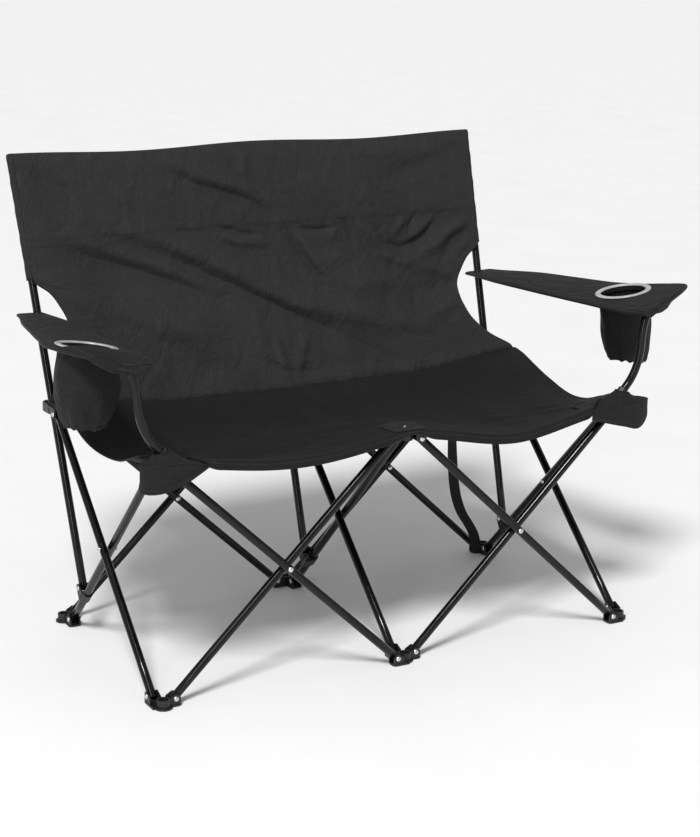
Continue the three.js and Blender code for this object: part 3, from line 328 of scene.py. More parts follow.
# --- Materials
class Shader:
    """Builds one node material."""

    def __init__(self, name, colour, roughness, metallic=0.0, **sockets):
        self.material = bpy.data.materials.new(name)
        self.material.use_nodes = True
        self.tree = self.material.node_tree
        self.shader = self.tree.nodes["Principled BSDF"]
        self.bumps = None
        self.feed(self.shader, {"Base Color": colour, "Roughness": roughness, "Metallic": metallic})
        self.feed(self.shader, {key.replace("_", " "): value for key, value in sockets.items()})

    def feed(self, node, inputs):
        """Gives sockets of a node their numbers, colours or links."""
        for socket, value in inputs.items():
            if isinstance(value, bpy.types.NodeSocket):
                self.tree.links.new(value, node.inputs[socket])
            elif isinstance(value, tuple) and node.inputs[socket].type == "RGBA":
                node.inputs[socket].default_value = (*value, 1)
            else:
                node.inputs[socket].default_value = value

    def node(self, kind, inputs, **values):
        made = self.tree.nodes.new(kind)
        for key, value in values.items():
            setattr(made, key, value)
        self.feed(made, inputs)
        return made

    def math(self, operation, *values):
        return self.node("ShaderNodeMath", dict(enumerate(values)), operation=operation).outputs[0]

    def times(self, a, b):
        return self.math("MULTIPLY", a, b)

    def coordinates(self, kind, scale=(1, 1, 1), turn=(0, 0, 0)):
        source = self.node("ShaderNodeTexCoord", {}).outputs[kind]
        inputs = {"Scale": scale, "Rotation": turn, "Vector": source}
        return self.node("ShaderNodeMapping", inputs).outputs["Vector"]

    def noise(self, vector, scale, detail=4.0, roughness=0.55, distortion=0.0):
        inputs = {"Vector": vector, "Scale": scale, "Detail": detail, "Roughness": roughness,
                  "Distortion": distortion}
        return self.node("ShaderNodeTexNoise", inputs).outputs["Fac"]

    def spread(self, value, low, high, to_low=0.0, to_high=1.0):
        inputs = {"Value": value, "From Min": low, "From Max": high, "To Min": to_low, "To Max": to_high}
        return self.node("ShaderNodeMapRange", inputs).outputs["Result"]

    def mix(self, factor, a, b):
        return self.node("ShaderNodeMix", {0: factor, 6: a, 7: b}, data_type="RGBA").outputs[2]

    def wave(self, value, pitch):
        return self.math("SINE", self.times(value, math.pi / pitch))

    def bump(self, height, strength, distance):
        inputs = {"Height": height, "Strength": strength, "Distance": distance}
        if self.bumps is not None:
            inputs["Normal"] = self.bumps
        self.bumps = self.node("ShaderNodeBump", inputs).outputs["Normal"]
        self.feed(self.shader, {"Normal": self.bumps})

    def paint(self, colour):
        self.feed(self.shader, {"Base Color": colour})

    def rough(self, value):
        self.feed(self.shader, {"Roughness": value})


def tinted(colour, factor):
    return tuple(min(1.0, c * factor) for c in colour)


def cloth_material(name, colour, pitch=0.00062, crumple=1.0, roughness=0.72, sheen=0.03):
    """Coated polyester canvas: a plain weave with slubs, soft crumpling, and a paler rub at its hems."""
    s = Shader(name, colour, roughness, Sheen_Weight=sheen, Sheen_Roughness=0.5, Specular_IOR_Level=0.2)
    uv = s.coordinates("UV")
    apart = s.node("ShaderNodeSeparateXYZ", {0: uv})
    wobble = s.times(s.noise(uv, 900, 2), 0.35 * pitch)
    waves = [s.wave(s.math("ADD", apart.outputs[k], wobble), pitch) for k in (0, 1)]
    warp, weft = (s.math("ABSOLUTE", wave) for wave in waves)
    over = s.math("GREATER_THAN", s.times(*waves), 0.0)
    weave = s.math("ADD", s.times(warp, over), s.times(weft, s.math("SUBTRACT", 1.0, over)))
    slubs, slubs_across = (s.noise(s.coordinates("UV", scale), 1.0, 3)
                           for scale in ((260, 1400, 1), (1400, 260, 1)))
    space = s.coordinates("Object")
    blotch = s.noise(space, 7.0, 5, 0.6, 0.4)
    dust = s.noise(space, 42.0, 6, 0.65)
    specks = s.noise(space, 150.0, 4, 0.7)
    worn = s.node("ShaderNodeAttribute", {}, attribute_name="wear").outputs["Fac"]
    base = s.mix(s.spread(blotch, 0.3, 0.7), tinted(colour, 0.6), tinted(colour, 1.16))
    for mark, low, high, share, tint in (
        (specks, 0.42, 0.7, 0.6, 1.5), (weave, 0.1, 1.0, 0.35, 1.5),
        (slubs, 0.5, 0.8, 0.3, 1.6), (slubs_across, 0.5, 0.8, 0.3, 1.6),
    ):
        base = s.mix(s.times(s.spread(mark, low, high), share), base, tinted(colour, tint))
    rubbed = s.times(worn, s.spread(dust, 0.42, 0.62, 0.0, 0.4))
    s.paint(s.mix(rubbed, base, tinted(colour, 2.2)))
    s.rough(s.spread(dust, 0.3, 0.7, roughness - 0.07, roughness + 0.08))
    crumples = s.noise(s.coordinates("UV", (1, 0.8, 1), (0, 0, 0.5)), 16.0, 7, 0.55, 0.8)
    s.bump(crumples, crumple, 0.010)
    s.bump(s.noise(uv, 70.0, 5, 0.6, 0.3), 0.5 * crumple, 0.0016)
    s.bump(weave, 0.5, 0.0002)
    return s.material


def steel_material():
    """Black enamel over drawn tube: glossy, with a faint orange peel and dulled spots."""
    s = Shader("frame_enamel", (0.006, 0.006, 0.0065), 0.2, Specular_IOR_Level=0.3)
    space = s.coordinates("Object")
    scuff = s.noise(s.coordinates("UV", (300, 60, 1)), 1.0, 5, 0.7)
    clean = s.mix(s.spread(s.noise(space, 30.0, 5, 0.6), 0.3, 0.7), (0.002, 0.002, 0.0023),
                  (0.005, 0.005, 0.0053))
    s.paint(s.mix(s.spread(scuff, 0.62, 0.8), clean, (0.02, 0.02, 0.02)))
    s.rough(s.spread(scuff, 0.35, 0.75, 0.1, 0.26))
    s.bump(s.noise(space, 420.0, 3), 0.12, 0.0003)
    s.bump(s.noise(space, 60.0, 3), 0.1, 0.0006)
    return s.material


def plastic_material(name, colour, roughness, grain=1.0, gloss_coat=0.0):
    """Moulded nylon: a fine spark-eroded grain, flow marks and slightly polished high spots."""
    s = Shader(name, colour, roughness, Coat_Weight=gloss_coat, Coat_Roughness=0.2, Specular_IOR_Level=0.45)
    space = s.coordinates("Object")
    cloud = s.noise(space, 55.0, 5, 0.6, 0.5)
    flow = s.noise(s.coordinates("Object", (40, 40, 160)), 1.0, 4, 0.6, 1.2)
    s.paint(s.mix(s.spread(cloud, 0.3, 0.7), tinted(colour, 0.82), tinted(colour, 1.25)))
    s.rough(s.spread(flow, 0.3, 0.7, roughness - 0.08, roughness + 0.1))
    s.bump(s.noise(space, 1500.0, 2), 0.16 * grain, 0.0002)
    s.bump(flow, 0.08, 0.0006)
    return s.material


def rivet_material(name, bright):
    """Plated steel with fine turning marks and dull patches."""
    s = Shader(name, (bright, bright, 0.986 * bright), 0.26, 1.0)
    space = s.coordinates("Object")
    spots = s.noise(space, 260.0, 5, 0.65)
    s.paint(s.mix(s.spread(spots, 0.35, 0.75), tinted((bright,) * 3, 1.08), tinted((bright,) * 3, 0.69)))
    s.rough(s.spread(spots, 0.3, 0.7, 0.18, 0.42))
    s.bump(s.noise(space, 1800.0, 2), 0.12, 0.0002)
    return s.material


def webbing_material():
    """Woven polypropylene webbing: lengthwise ribs crossed by a herringbone."""
    s = Shader("strap_webbing", (0.006, 0.006, 0.0063), 0.55, Sheen_Weight=0.04, Sheen_Roughness=0.4,
               Specular_IOR_Level=0.25)
    uv = s.coordinates("UV")
    apart = s.node("ShaderNodeSeparateXYZ", {0: uv})
    ribs = s.math("ABSOLUTE", s.wave(apart.outputs[0], 0.0016))
    slant = s.math("ADD", apart.outputs[1], s.times(ribs, 0.0007))
    weave = s.times(ribs, s.math("ABSOLUTE", s.wave(slant, 0.0013)))
    s.paint(s.mix(s.spread(weave, 0.1, 0.9), (0.003, 0.003, 0.0034), (0.011, 0.011, 0.0115)))
    s.rough(s.spread(s.noise(uv, 300, 4), 0.3, 0.7, 0.48, 0.66))
    s.bump(weave, 0.7, 0.0005)
    return s.material


back_cloth = cloth_material("back_canvas", (0.0155, 0.0155, 0.0158))
# The seat is the back's canvas with its colour about three times darker: painted shade over the whole seat.
painted_shade_seat_cloth = cloth_material("seat_canvas_painted_shade", (0.0048, 0.0048, 0.005), crumple=0.8, roughness=0.66, sheen=0.02)
trim_cloth = cloth_material("trim_canvas", (0.0080, 0.0080, 0.0081), pitch=0.0005, crumple=1.7)
binding = cloth_material("hem_binding", (0.008, 0.008, 0.0082), pitch=0.0008, crumple=0.3, roughness=0.6)
thread = plastic_material("seam_thread", (0.035, 0.035, 0.035), 0.5, 2.0)
enamel = steel_material()
nylon = plastic_material("black_nylon", (0.009, 0.009, 0.0095), 0.42)
ring_plastic = plastic_material("ring_plastic", (0.40, 0.41, 0.42), 0.32, 0.5, 0.15)
plating = rivet_material("rivet_plating", 0.72)
dark_plating = rivet_material("eyelet_plating", 0.16)
webbing = webbing_material()


def settle(obj, body, nodes, squash=None):
    """Rides a piece on its body, gives it a mesh of its own when a squash is given, and hides the CAD parts
    it stands in for.
    """
    if squash is not None:
        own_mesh(obj)
    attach(obj, body)
    if nodes:
        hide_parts(*nodes)
    return obj


def row_point(x, y, z):
    return (x * MM, y * MM + FRONT_LINE, z * MM)


# --- Camera, at the photograph's place
FOCAL_PIXELS, PICTURE_WIDTH, SENSOR = 1928.6, 700, 36
camera = placed("camera", bpy.data.cameras.new("camera"))
camera.data.sensor_fit = "HORIZONTAL"
camera.data.sensor_width = SENSOR
camera.data.lens = FOCAL_PIXELS / PICTURE_WIDTH * SENSOR
camera.data.clip_end = 50
forward = unit((0.4579, 0.8552, -0.2428))
right = unit(np.cross(forward, (0, 0, 1)))
pose = np.eye(4)
pose[:3, :3] = np.stack([right, np.cross(right, forward), -forward], axis=1)
pose[:3, 3] = (-1.7373, -3.0228 + FRONT_LINE, 1.3520)
camera.matrix_world = Matrix(pose.tolist())
bpy.context.scene.camera = camera

# --- Scissor tubes
# Name, direction, its two ends, the line it stands on and the side of its rising tube
BAYS = (
    ("front_left", "x", -BAY, 0, 0, 1),
    ("front_right", "x", 0, BAY, 0, 1),
    ("rear_left", "x", -BAY, 0, DEPTH, 1),
    ("rear_right", "x", 0, BAY, DEPTH, 1),
    ("left_side", "y", 0, DEPTH, -BAY, -1),
    ("centre", "y", 0, DEPTH, 0, -1),
    ("right_side", "y", 0, DEPTH, BAY, 1),
)
CROSSING_GRIP = 2 * (TUBE_PLANE + TUBE_R + GAP)
PINS = {"x": np.array([0, 1.0, 0]), "y": np.array([1.0, 0, 0])}


def bay_point(runs, line, place, across, height):
    flat = [place, line + across]
    return np.array((flat if runs == "x" else flat[::-1]) + [height], float)


tubes = {}
for bay, runs, start, end, line, side in BAYS:
    offset = OFFSET_X if runs == "x" else OFFSET_Y
    near, far = start + offset, end - offset
    for kind, a, b, across, low_at, high_at in (
        ("rising", near, far, side * TUBE_PLANE, start, end),
        ("falling", far, near, -side * TUBE_PLANE, end, start),
    ):
        tubes[f"{bay}_{kind}_tube"] = {
            "low": bay_point(runs, line, a, across, FOOT_PIVOT),
            "high": bay_point(runs, line, b, across, TOP_PIVOT),
            "low_at": low_at, "high_at": high_at, "runs": runs, "line": line,
        }


def pipe_piece(name, node, body, path):
    parts = Parts()
    add_pipe(parts, path)
    settle(mesh_of(name, parts, [enamel], 50), body, [node])


for name, tube in tubes.items():
    way = unit(tube["high"] - tube["low"])
    path = np.linspace(tube["low"] - way * OVERRUN, tube["high"] + way * OVERRUN, 9)
    pipe_piece(name.replace("_tube", "_pipe"), name, name, path)

DOME = [(4.9, -0.02), (5.2, 0.02), (5.15, 0.25), (4.8, 0.85), (4.0, 1.6), (2.8, 2.2), (1.4, 2.5),
        (0.01, 2.55)]
SHANK_R = 2.5


def add_heads(parts, middle, direction, grip):
    """The two domed heads of a rivet, each at half a grip from its middle."""
    for sign in (-1, 1):
        add_lathe(parts, DOME, middle + sign * direction * grip / 2, sign * direction, 28)


def rivet_piece(name, parts, body, nodes=()):
    settle(mesh_of(name, parts, [plating], 60), body, nodes)


for bay, runs, start, end, line, side in BAYS:
    middle = bay_point(runs, line, (start + end) / 2, 0, (FOOT_PIVOT + TOP_PIVOT) / 2)
    parts = Parts()
    add_heads(parts, middle, PINS[runs], CROSSING_GRIP)
    reach = PINS[runs] * (CROSSING_GRIP / 2 - 0.2)
    add_rod(parts, [middle - reach, middle + reach], SHANK_R, 20)
    rivet_piece(bay + "_rivet", parts, bay + "_falling_tube", [bay + "_crossing_rivet"])


def fitting_rivets(body, x, y, end):
    """The rivets of all the tube ends, high or low, that meet in the fitting at a place."""
    parts = Parts()
    for tube in tubes.values():
        level, line = (x, y) if tube["runs"] == "x" else (y, x)
        if tube[end + "_at"] == level and tube["line"] == line:
            add_heads(parts, tube[end], PINS[tube["runs"]], 2 * CHEEK_OUTER)
    rivet_piece(body + "_rivets", parts, body)


for side_name, x in (("left", -BAY), ("centre", 0), ("right", BAY)):
    fitting_rivets(f"front_{side_name}_foot", x, 0, "low")
    fitting_rivets(f"rear_{side_name}_foot", x, DEPTH, "low")
    fitting_rivets(f"front_{side_name}_hub", x, 0, "high")
    fitting_rivets(f"{side_name}_slider", x, DEPTH, "high")

# --- Posts
# For each post: the bay of its bracket's tube, and where its hinge and its ring are across the chair
POSTS = {
    "left": ("left_side", -BAY + TUBE_PLANE, -BAY - 4.5),
    "centre": ("centre", 0.0, 0.0),
    "right": ("right_side", BAY - TUBE_PLANE, BAY + 4.5),
}
BRACKET_GRIP = 24


def post_line(name, lean):
    """A post's hinge and its direction when the tubes lean so far."""
    hinge_x, ring_x = POSTS[name][1:]
    level = -HINGE_UP * math.sin(lean) + HINGE_OFF * math.cos(lean)
    height = HINGE_UP * math.cos(lean) + HINGE_OFF * math.sin(lean)
    hinge = np.array([hinge_x, DEPTH - OFFSET_Y + level, FOOT_PIVOT + height])
    ring = np.array([ring_x, DEPTH + 2, FOOT_PIVOT + TUBE_LENGTH * math.cos(lean)])
    return hinge, unit(ring - hinge)


def post_at(name, height):
    hinge, way = post_line(name, OPEN_LEAN)
    height = np.asarray(height, float)
    return hinge + way * ((height - hinge[2]) / way[2])[..., None]


def hinge_axis(name):
    """The one axis that turns a post from its open to its folded place on its tube."""
    opened, closed = (post_line(name, lean)[1] for lean in (OPEN_LEAN, FOLDED_LEAN))
    turn = OPEN_LEAN - FOLDED_LEAN
    c, s = math.cos(turn), math.sin(turn)
    on_tube = np.array([closed[0], closed[1] * c - closed[2] * s, closed[1] * s + closed[2] * c])
    return unit(np.cross(opened, on_tube))


for name, (bay, *_) in POSTS.items():
    hinge, way = post_line(name, OPEN_LEAN)
    path = np.linspace(hinge - way * OVERRUN, post_at(name, POST_TOP), 9)
    pipe_piece(name + "_post_pipe", name + "_post", name + "_post", path)
    parts = Parts()
    add_heads(parts, hinge, hinge_axis(name), BRACKET_GRIP)
    rivet_piece(name + "_bracket_rivet", parts, bay + "_falling_tube")

# --- Arm tubes
ARM_OUT = [0, 0.1, 0.2, 0.3, 0.42, 0.5, 0.545, 0.57, 0.6, 0.68, 0.83, 1]
ARM_RISE = [0, 0.063, 0.126, 0.19, 0.3, 0.42, 0.55, 0.68, 0.8, 0.92, 0.985, 1]


def arm_route(side):
    """The bent tube from a front corner hub out and up to the armrest."""
    return catmull([(side * (BAY - 20 + 98 * out), 0, TOP_PIVOT + 21 + 175 * rise)
                    for out, rise in zip(ARM_OUT, ARM_RISE)], 66)


for side_name, side in SIDES:
    pipe_piece(side_name + "_arm_pipe", side_name + "_arm_tube", f"front_{side_name}_hub", arm_route(side))

# --- Seat
SAG_PLACES = [0, 0.08, 0.16, 0.3, 0.45, 0.65, 0.85, 1]
# At the centre, the middle of a half and the side edge: the height above the hubs' cloth in front
# and behind, where it starts to change, how deep the cloth hangs, and that depth from front to rear
SAGS = (
    (0, -15, 0, 38, [0, 0, 0.02, 0.35, 0.7, 1, 0.7, 0]),
    (-33, -12, 0, 29, [0, 0.1, 0.3, 0.62, 0.85, 1, 0.6, 0]),
    (0, 15, 0.5, 32, [0, 0.06, 0.42, 1.0, 1.15, 0.8, 0.22, 0]),
)
SPREAD = ([0, 0.09, 0.2, 0.4, 0.6, 0.8, 1], [0, 0.62, 0.68, 0.74, 0.85, 0.87, 1])
HEM, HEM_ROW = 0.07, 8
SEAT_COLUMNS, SEAT_ROWS, SEAT_SPLIT = 220, 116, 68
SEAT_THICK, BACK_THICK, TRIM_THICK = 1.7, 1.7, 1.5
SIDEWAYS, BACKWARDS = (1, 0, 0), (0, 1, 0)


def seat_half(share):
    """Half the seat's width at a share of its depth."""
    return lerp(SEAT_FRONT_X, SEAT_REAR_X, table(*SPREAD, share))


def seat_height(share, width):
    """The height of the seat's cloth at a share of its depth and of its half width, -1 to 1."""
    centre, middle, edge = (
        CLOTH_TOP + lerp(front, rear, smooth(share, start, 1)) - sag * table(SAG_PLACES, curve, share)
        for front, rear, start, sag, curve in SAGS)
    aside = np.abs(width)
    height = lerp(lerp(centre, middle, smooth(aside, 0, 0.5)), edge, smooth(aside, 0.5, 1))
    # the left half's front edge hangs less
    return height + 11 * bell(width, -0.5, 0.24) * (1 - smooth(share, 0, 0.3))


def seat_over(x, y):
    """The height of the seat's upper face over a place behind its hem."""
    share = (y - HEM_Y) / (SEAM_DEPTH - HEM_Y)
    return seat_height(share, np.clip(x / seat_half(share), -1, 1)) + CLOTH / 2


def crease(x, y, points, size, width):
    """A fold along a polyline: a ridge, or a trough where its size is negative, fading at both ends."""
    points = np.asarray(points, float)
    best, place = np.full(np.shape(x), 1e9), np.zeros(np.shape(x))
    run = run_along(points)
    for k in range(len(points) - 1):
        a, d = points[k], points[k + 1] - points[k]
        t = np.clip(((x - a[0]) * d[0] + (y - a[1]) * d[1]) / (d @ d), 0, 1)
        away = np.hypot(x - a[0] - t * d[0], y - a[1] - t * d[1])
        near = away < best
        best = np.where(near, away, best)
        place = np.where(near, lerp(run[k], run[k + 1], t) / run[-1], place)
    fade = np.sin(np.pi * np.clip(0.06 + 0.88 * place, 0, 1)) ** 0.8
    return size * fade * bell(best, 0, width)


def creases(x, y, folds, deeper, wider):
    """All the folds of a cloth, with their sizes and widths scaled alike."""
    return sum(crease(x, y, points, deeper * size, wider * width) for points, size, width in folds)


# Each fold: its line in (x, y), its height and its width
SEAT_FOLDS = (
    ([(22, 455), (-30, 380), (-62, 300)], 4.0, 16),
    ([(60, 460), (20, 400), (-5, 320)], -4.0, 16),
    ([(-59, 440), (-110, 350), (-163, 260)], 3.0, 14),
    ([(5, 60), (30, 160), (70, 260)], 4.0, 22),
    ([(-10, 60), (-60, 150), (-120, 220)], 4.0, 24),
    ([(-440, 60), (-330, 120), (-210, 150)], 4.5, 26),
    ([(-450, 110), (-350, 200), (-260, 290)], -3.5, 26),
    ([(440, 60), (370, 110), (280, 150)], 4.0, 22),
    ([(450, 140), (390, 150), (327, 150)], -3.0, 14),
    ([(505, 440), (430, 340), (370, 260)], -4.0, 30),
    ([(-505, 440), (-440, 350), (-370, 260)], -4.0, 30),
    ([(300, 330), (180, 300), (80, 330)], 2.6, 26),
    ([(-330, 330), (-230, 300), (-120, 330)], 2.6, 26),
    ([(-430, 40), (-300, 62), (-170, 50)], 3.4, 13),
    ([(-400, 78), (-260, 96), (-120, 84)], -3.0, 13),
    ([(-360, 120), (-240, 132), (-90, 112)], 3.2, 15),
    ([(-120, 40), (-60, 62), (10, 74)], -2.4, 11),
    ([(140, 60), (230, 84), (350, 70)], 3.0, 15),
    ([(180, 120), (270, 132), (360, 110)], -2.6, 15),
)


def seat_grid(u, v):
    """The seat's outer face at shares u across and v from the hem's edge to the rear seam."""
    width = 2 * u - 1
    aside = np.abs(width)
    on_hem = v < HEM
    share = np.where(on_hem, 0, (v - HEM) / (1 - HEM))
    corner = smooth(aside, 0.86, 1)
    x = seat_half(share) * width
    y = lerp(lerp(HEM_Y, 17, corner), SEAM_DEPTH, share)
    drop = np.where(on_hem, 17 * (1 - v / HEM) * (1 - corner), 0)
    raised = 0.68 * (1 - smooth(aside, 0, 0.12))
    z = seat_height(share, width) - drop * (1 - raised) + CLOTH / 2
    z -= 1.2 * np.abs(arch(share)) * (1 + np.sin(9 * np.pi * width + share))
    z += creases(x, y, SEAT_FOLDS, 1.6, 0.9) * smooth(share, 0.03, 0.2)
    roll = np.where(on_hem, 1.6 * np.sin(np.pi * v / HEM), 0)
    return np.stack([x, y - roll, z], axis=2)


def seat_piece(name, first, last):
    """The seat between two rows; its first row is the hem's edge."""
    parts = Parts()
    grid = seat_grid(*shares_grid(SEAT_COLUMNS, SEAT_ROWS)[:, first:last + 1])
    normals = normals_of(grid)
    add_cloth(parts, grid, SEAT_THICK)
    for edge, inside in ((0, 6), (-1, -7)):
        add_rod(parts, grid[:, edge] - (0, 0, SEAT_THICK / 2), 1.9, 10, BINDING)
        add_stitches(parts, grid[:, inside], normals[:, inside])
    if first == 0:
        add_rod(parts, grid[0] + (0, 0.8, -0.4), 1.7, 10, BINDING)
        for row in (HEM_ROW + 2, HEM_ROW - 3):
            add_stitches(parts, grid[row, 8:-8], normals[row, 8:-8])
    return mesh_of(name, parts, [painted_shade_seat_cloth, binding, thread])


for name, body, first, last, flat, rest in (
    ("seat_front", "centre_falling_tube", 0, SEAT_SPLIT, (0.98, 0.31), "front_centre_hub"),
    ("seat_rear", "centre_rising_tube", SEAT_SPLIT, SEAT_ROWS, (1.05, 0.21), "centre_slider"),
):
    seat = seat_piece(name, first, last)
    settle(seat, body, ["seat"], (SIDEWAYS, row_point(0, 0, 450), 0.26))

# --- Back
# How far the back comes forward of the posts' line, from the seam (1) to its top
FORWARD = ([0, 0.05, 0.12, 0.22, 0.34, 0.5, 0.55, 0.7, 1], [1, 0.83, 0.66, 0.48, 0.27, 0.04, 0, 0, 0])
LAY_OFF = TUBE_R + GAP + 2
EDGE_Z = [475.6, 508, 541, 572, 600, 618, 642, 668, SLEEVE_BOTTOM, 760, POST_TOP]
EDGE_X = [536, 487.6, 458.6, 449.5, 447, 449, 462, 482]
EDGE_X += [float(post_at("right", z)[0]) for z in EDGE_Z[len(EDGE_X):]]
BACK_COLUMNS, BACK_ROWS = 300, 150
BAND_Z, BAND_STEP = 768, 1.5
WIDE_STITCH = (4.6, 3.2, 0.6)


def back_edge(height):
    """Half the back's width: between the armrest and the seat it is cut in from the posts."""
    return np.where(height > SLEEVE_BOTTOM, post_at("right", height)[..., 0], table(EDGE_Z, EDGE_X, height))


# Each fold: its line in (x, z), its height and its width
BACK_FOLDS = (
    # ridge and trough pairs from the photograph's upper left to its lower right
    ([(-332, 750), (-241, 724), (-145, 672), (-55, 618), (53, 560), (253, 462)], -7.0, 24),
    ([(-300, 768), (-184, 722), (-85, 676), (28, 612), (212, 560), (330, 540)], 7.0, 26),
    ([(-440, 739), (-318, 694), (-193, 648), (-94, 606)], -6.5, 24),
    ([(-430, 765), (-300, 722), (-190, 678), (-110, 640)], 4.0, 20),
    ([(-480, 690), (-380, 640), (-270, 590), (-160, 560)], 4.5, 30),
    ([(-470, 640), (-400, 580), (-330, 530)], -3.5, 30),
    ([(-196, 885), (-149, 850), (-33, 812), (14, 787)], -5.5, 17),
    ([(-200, 910), (-140, 876), (-30, 836), (20, 812)], 4.0, 18),
    ([(-31, 920), (-32, 891), (-28, 843)], 2.6, 9),
    ([(-6, 915), (-8, 880), (-4, 850)], -2.0, 9),
    ([(72, 740), (104, 685), (137, 638)], 5.0, 11),
    ([(50, 750), (84, 690), (112, 640)], -3.0, 12),
    ([(137, 640), (210, 630), (300, 640)], 2.4, 20),
    # the gathers that hang below the band at the right
    ([(261, 760), (277, 707), (316, 690), (350, 703), (389, 729), (410, 757)], -5.6, 15),
    ([(245, 740), (262, 690), (316, 668), (370, 682), (430, 720)], 4.2, 16),
    ([(410, 758), (354, 722), (330, 712)], 5.0, 9),
    ([(494, 744), (440, 724), (390, 690)], 5.0, 13),
    ([(500, 724), (450, 700), (410, 660)], -4.5, 13),
    ([(335, 762), (305, 728)], 4.5, 8),
    ([(365, 764), (345, 740), (340, 726)], -4.5, 7),
    ([(220, 764), (235, 735), (240, 712)], 3.5, 9),
    ([(185, 766), (196, 740), (200, 718)], -3.2, 9),
    ([(150, 766), (158, 744), (150, 722)], 3.0, 9),
    ([(-102, 766), (-60, 750), (-20, 746)], -4.0, 9),
    ([(-110, 752), (-60, 734), (0, 728)], 3.0, 10),
    ([(82, 752), (120, 746), (165, 750)], -3.5, 8),
    ([(446, 625), (393, 649), (330, 660)], 4.0, 16),
    ([(440, 605), (380, 612), (300, 600)], -3.5, 18),
    ([(439, 590), (400, 575), (355, 556)], 3.0, 16),
    # pulls at the seam, and soft ones at the top
    ([(24, 478), (44, 456), (60, 447)], -6.0, 9),
    ([(0, 486), (-22, 500), (-60, 520)], 3.6, 12),
    ([(-8, 458), (-18, 490), (-20, 540)], 4.5, 11),
    ([(14, 470), (30, 510), (60, 560)], 4.0, 13),
    ([(-250, 600), (-140, 520), (-60, 470)], 3.0, 30),
    ([(300, 840), (400, 868), (490, 900)], -3.0, 22),
    ([(260, 900), (350, 905), (450, 880)], 2.4, 24),
    ([(-500, 900), (-430, 860), (-400, 800)], -2.6, 22),
)


def back_grid(u, v):
    """The back's front face at shares u across and v from the seam to the top."""
    width = 1 - 2 * u
    aside = np.abs(width)
    bottom = seat_height(np.ones_like(width), width) + CLOTH / 2 + 0.4
    z = lerp(bottom, POST_TOP + 9 - 7 * arch(width) ** 2, v)
    line, seam_line = (post_at("centre", height)[..., 1] - LAY_OFF for height in (z, bottom))
    x = back_edge(z) * width - 13 * bell(z, 602, 62) * width ** 2
    hold = smooth(v, 0, 0.05) * (1 - smooth(v, 0.93, 1)) * (1 - smooth(aside, 0.93, 1))
    post_pull = bell(x, 0, 20) * smooth(z, 800, 840)
    loose = creases(x, z, BACK_FOLDS, 1.9, 0.8) * (1 - 0.6 * post_pull)
    belly = 5 * arch(aside) * arch(v)
    y = line - (seam_line - SEAM_DEPTH) * table(*FORWARD, v) - hold * np.maximum(2.2 + loose + belly, -1.2)
    y -= BAND_STEP * smooth(z, BAND_Z - 1.2, BAND_Z + 1.2)
    tuck = 1 - smooth(v, 0, 0.012)
    return np.stack([x, y + 1.1 * tuck, z - 5 * tuck], axis=2)


def back_piece():
    parts = Parts()
    grid = back_grid(*shares_grid(BACK_COLUMNS, BACK_ROWS))
    normals = normals_of(grid)
    add_cloth(parts, grid, BACK_THICK)
    rows, columns = np.arange(BACK_ROWS + 1), np.arange(BACK_COLUMNS + 1)
    for above, sewn in ((-4.5, True), (5.5, True), (0, False), (10, False)):
        at = [np.interp(BAND_Z + above, grid[:, i, 2], rows) for i in columns]
        path = np.array([read_along(rows, grid[:, i], at[i]) for i in columns])
        lean = normals[np.rint(at).astype(int), columns]
        if sewn:
            add_stitches(parts, path[4:-4], lean[4:-4], THREAD, *WIDE_STITCH)
        else:
            add_rod(parts, path[2:-2] - lean[2:-2] * 0.3, 1.3, 6, BINDING)
    add_stitches(parts, grid[3, 4:-4], normals[3, 4:-4], THREAD, *WIDE_STITCH)
    add_stitches(parts, grid[-6, 4:-4], normals[-6, 4:-4])
    start = int(np.interp(SLEEVE_BOTTOM, grid[:, 0, 2], rows))
    for column in (12, -13):
        add_stitches(parts, grid[start:, column], normals[start:, column])
    add_rod(parts, grid[-1] + (0, BACK_THICK / 2, -0.6), 2.2, 10, BINDING)
    for column in (0, -1):
        add_rod(parts, grid[:start + 1, column] + (0, BACK_THICK / 2, 0), 2.0, 10, BINDING)
    return mesh_of("back_panel", parts, [back_cloth, binding, thread])


def sleeve_piece(name):
    """The part of the back that is sewn round a post, which rides on that post."""
    parts = Parts()
    low = POST_TOP - 96 if name == "centre" else SLEEVE_BOTTOM
    heights = np.linspace(low, POST_TOP + 7.5, 40)
    path = post_at(name, heights)
    wobble = 0.35 * np.sin(heights * 0.11) + 0.25 * np.sin(heights * 0.23 + 1)
    radius = np.append(10.4 + wobble, 6.0)
    radius[-2] = 9.6
    add_rod(parts, np.vstack([path, path[-1] + (0, 0.3, 1.4)]), radius, 28)
    add_rod(parts, post_at(name, [low - 0.4, low + 2.6]), 10.9, 28, BINDING)
    return mesh_of(name + "_sleeve", parts, [back_cloth, binding])


back_panel = back_piece()
settle(back_panel, "centre_post", ["back"], (SIDEWAYS, row_point(0, 0, 700), 0.28))
for name in POSTS:
    settle(sleeve_piece(name), name + "_post", ["back"])

# --- Armrests
ARM_INNER = ([0, 0.09, 0.28, 0.4, 0.6, 0.8, 1], [0.08, 0.0, -0.03, -0.05, -0.07, -0.07, -0.02])
ARM_OUTER_PLACES = [0, 0.04, 0.09, 0.135, 0.2, 0.28, 0.4, 0.6, 0.8, 1]
ARM_OUTER = {
    1: [0.36, 0.58, 0.85, 1.0, 0.93, 0.8, 0.68, 0.62, 0.55, 0.33],
    -1: [0.5, 0.61, 0.68, 0.72, 0.77, 0.79, 0.7, 0.56, 0.42, 0.26],
}
ARM_COLUMNS, ARM_ROWS, ARM_SPLIT = 40, 110, 41
SPLIT_Y = ARM_FRONT + ARM_LENGTH * ARM_SPLIT / ARM_ROWS
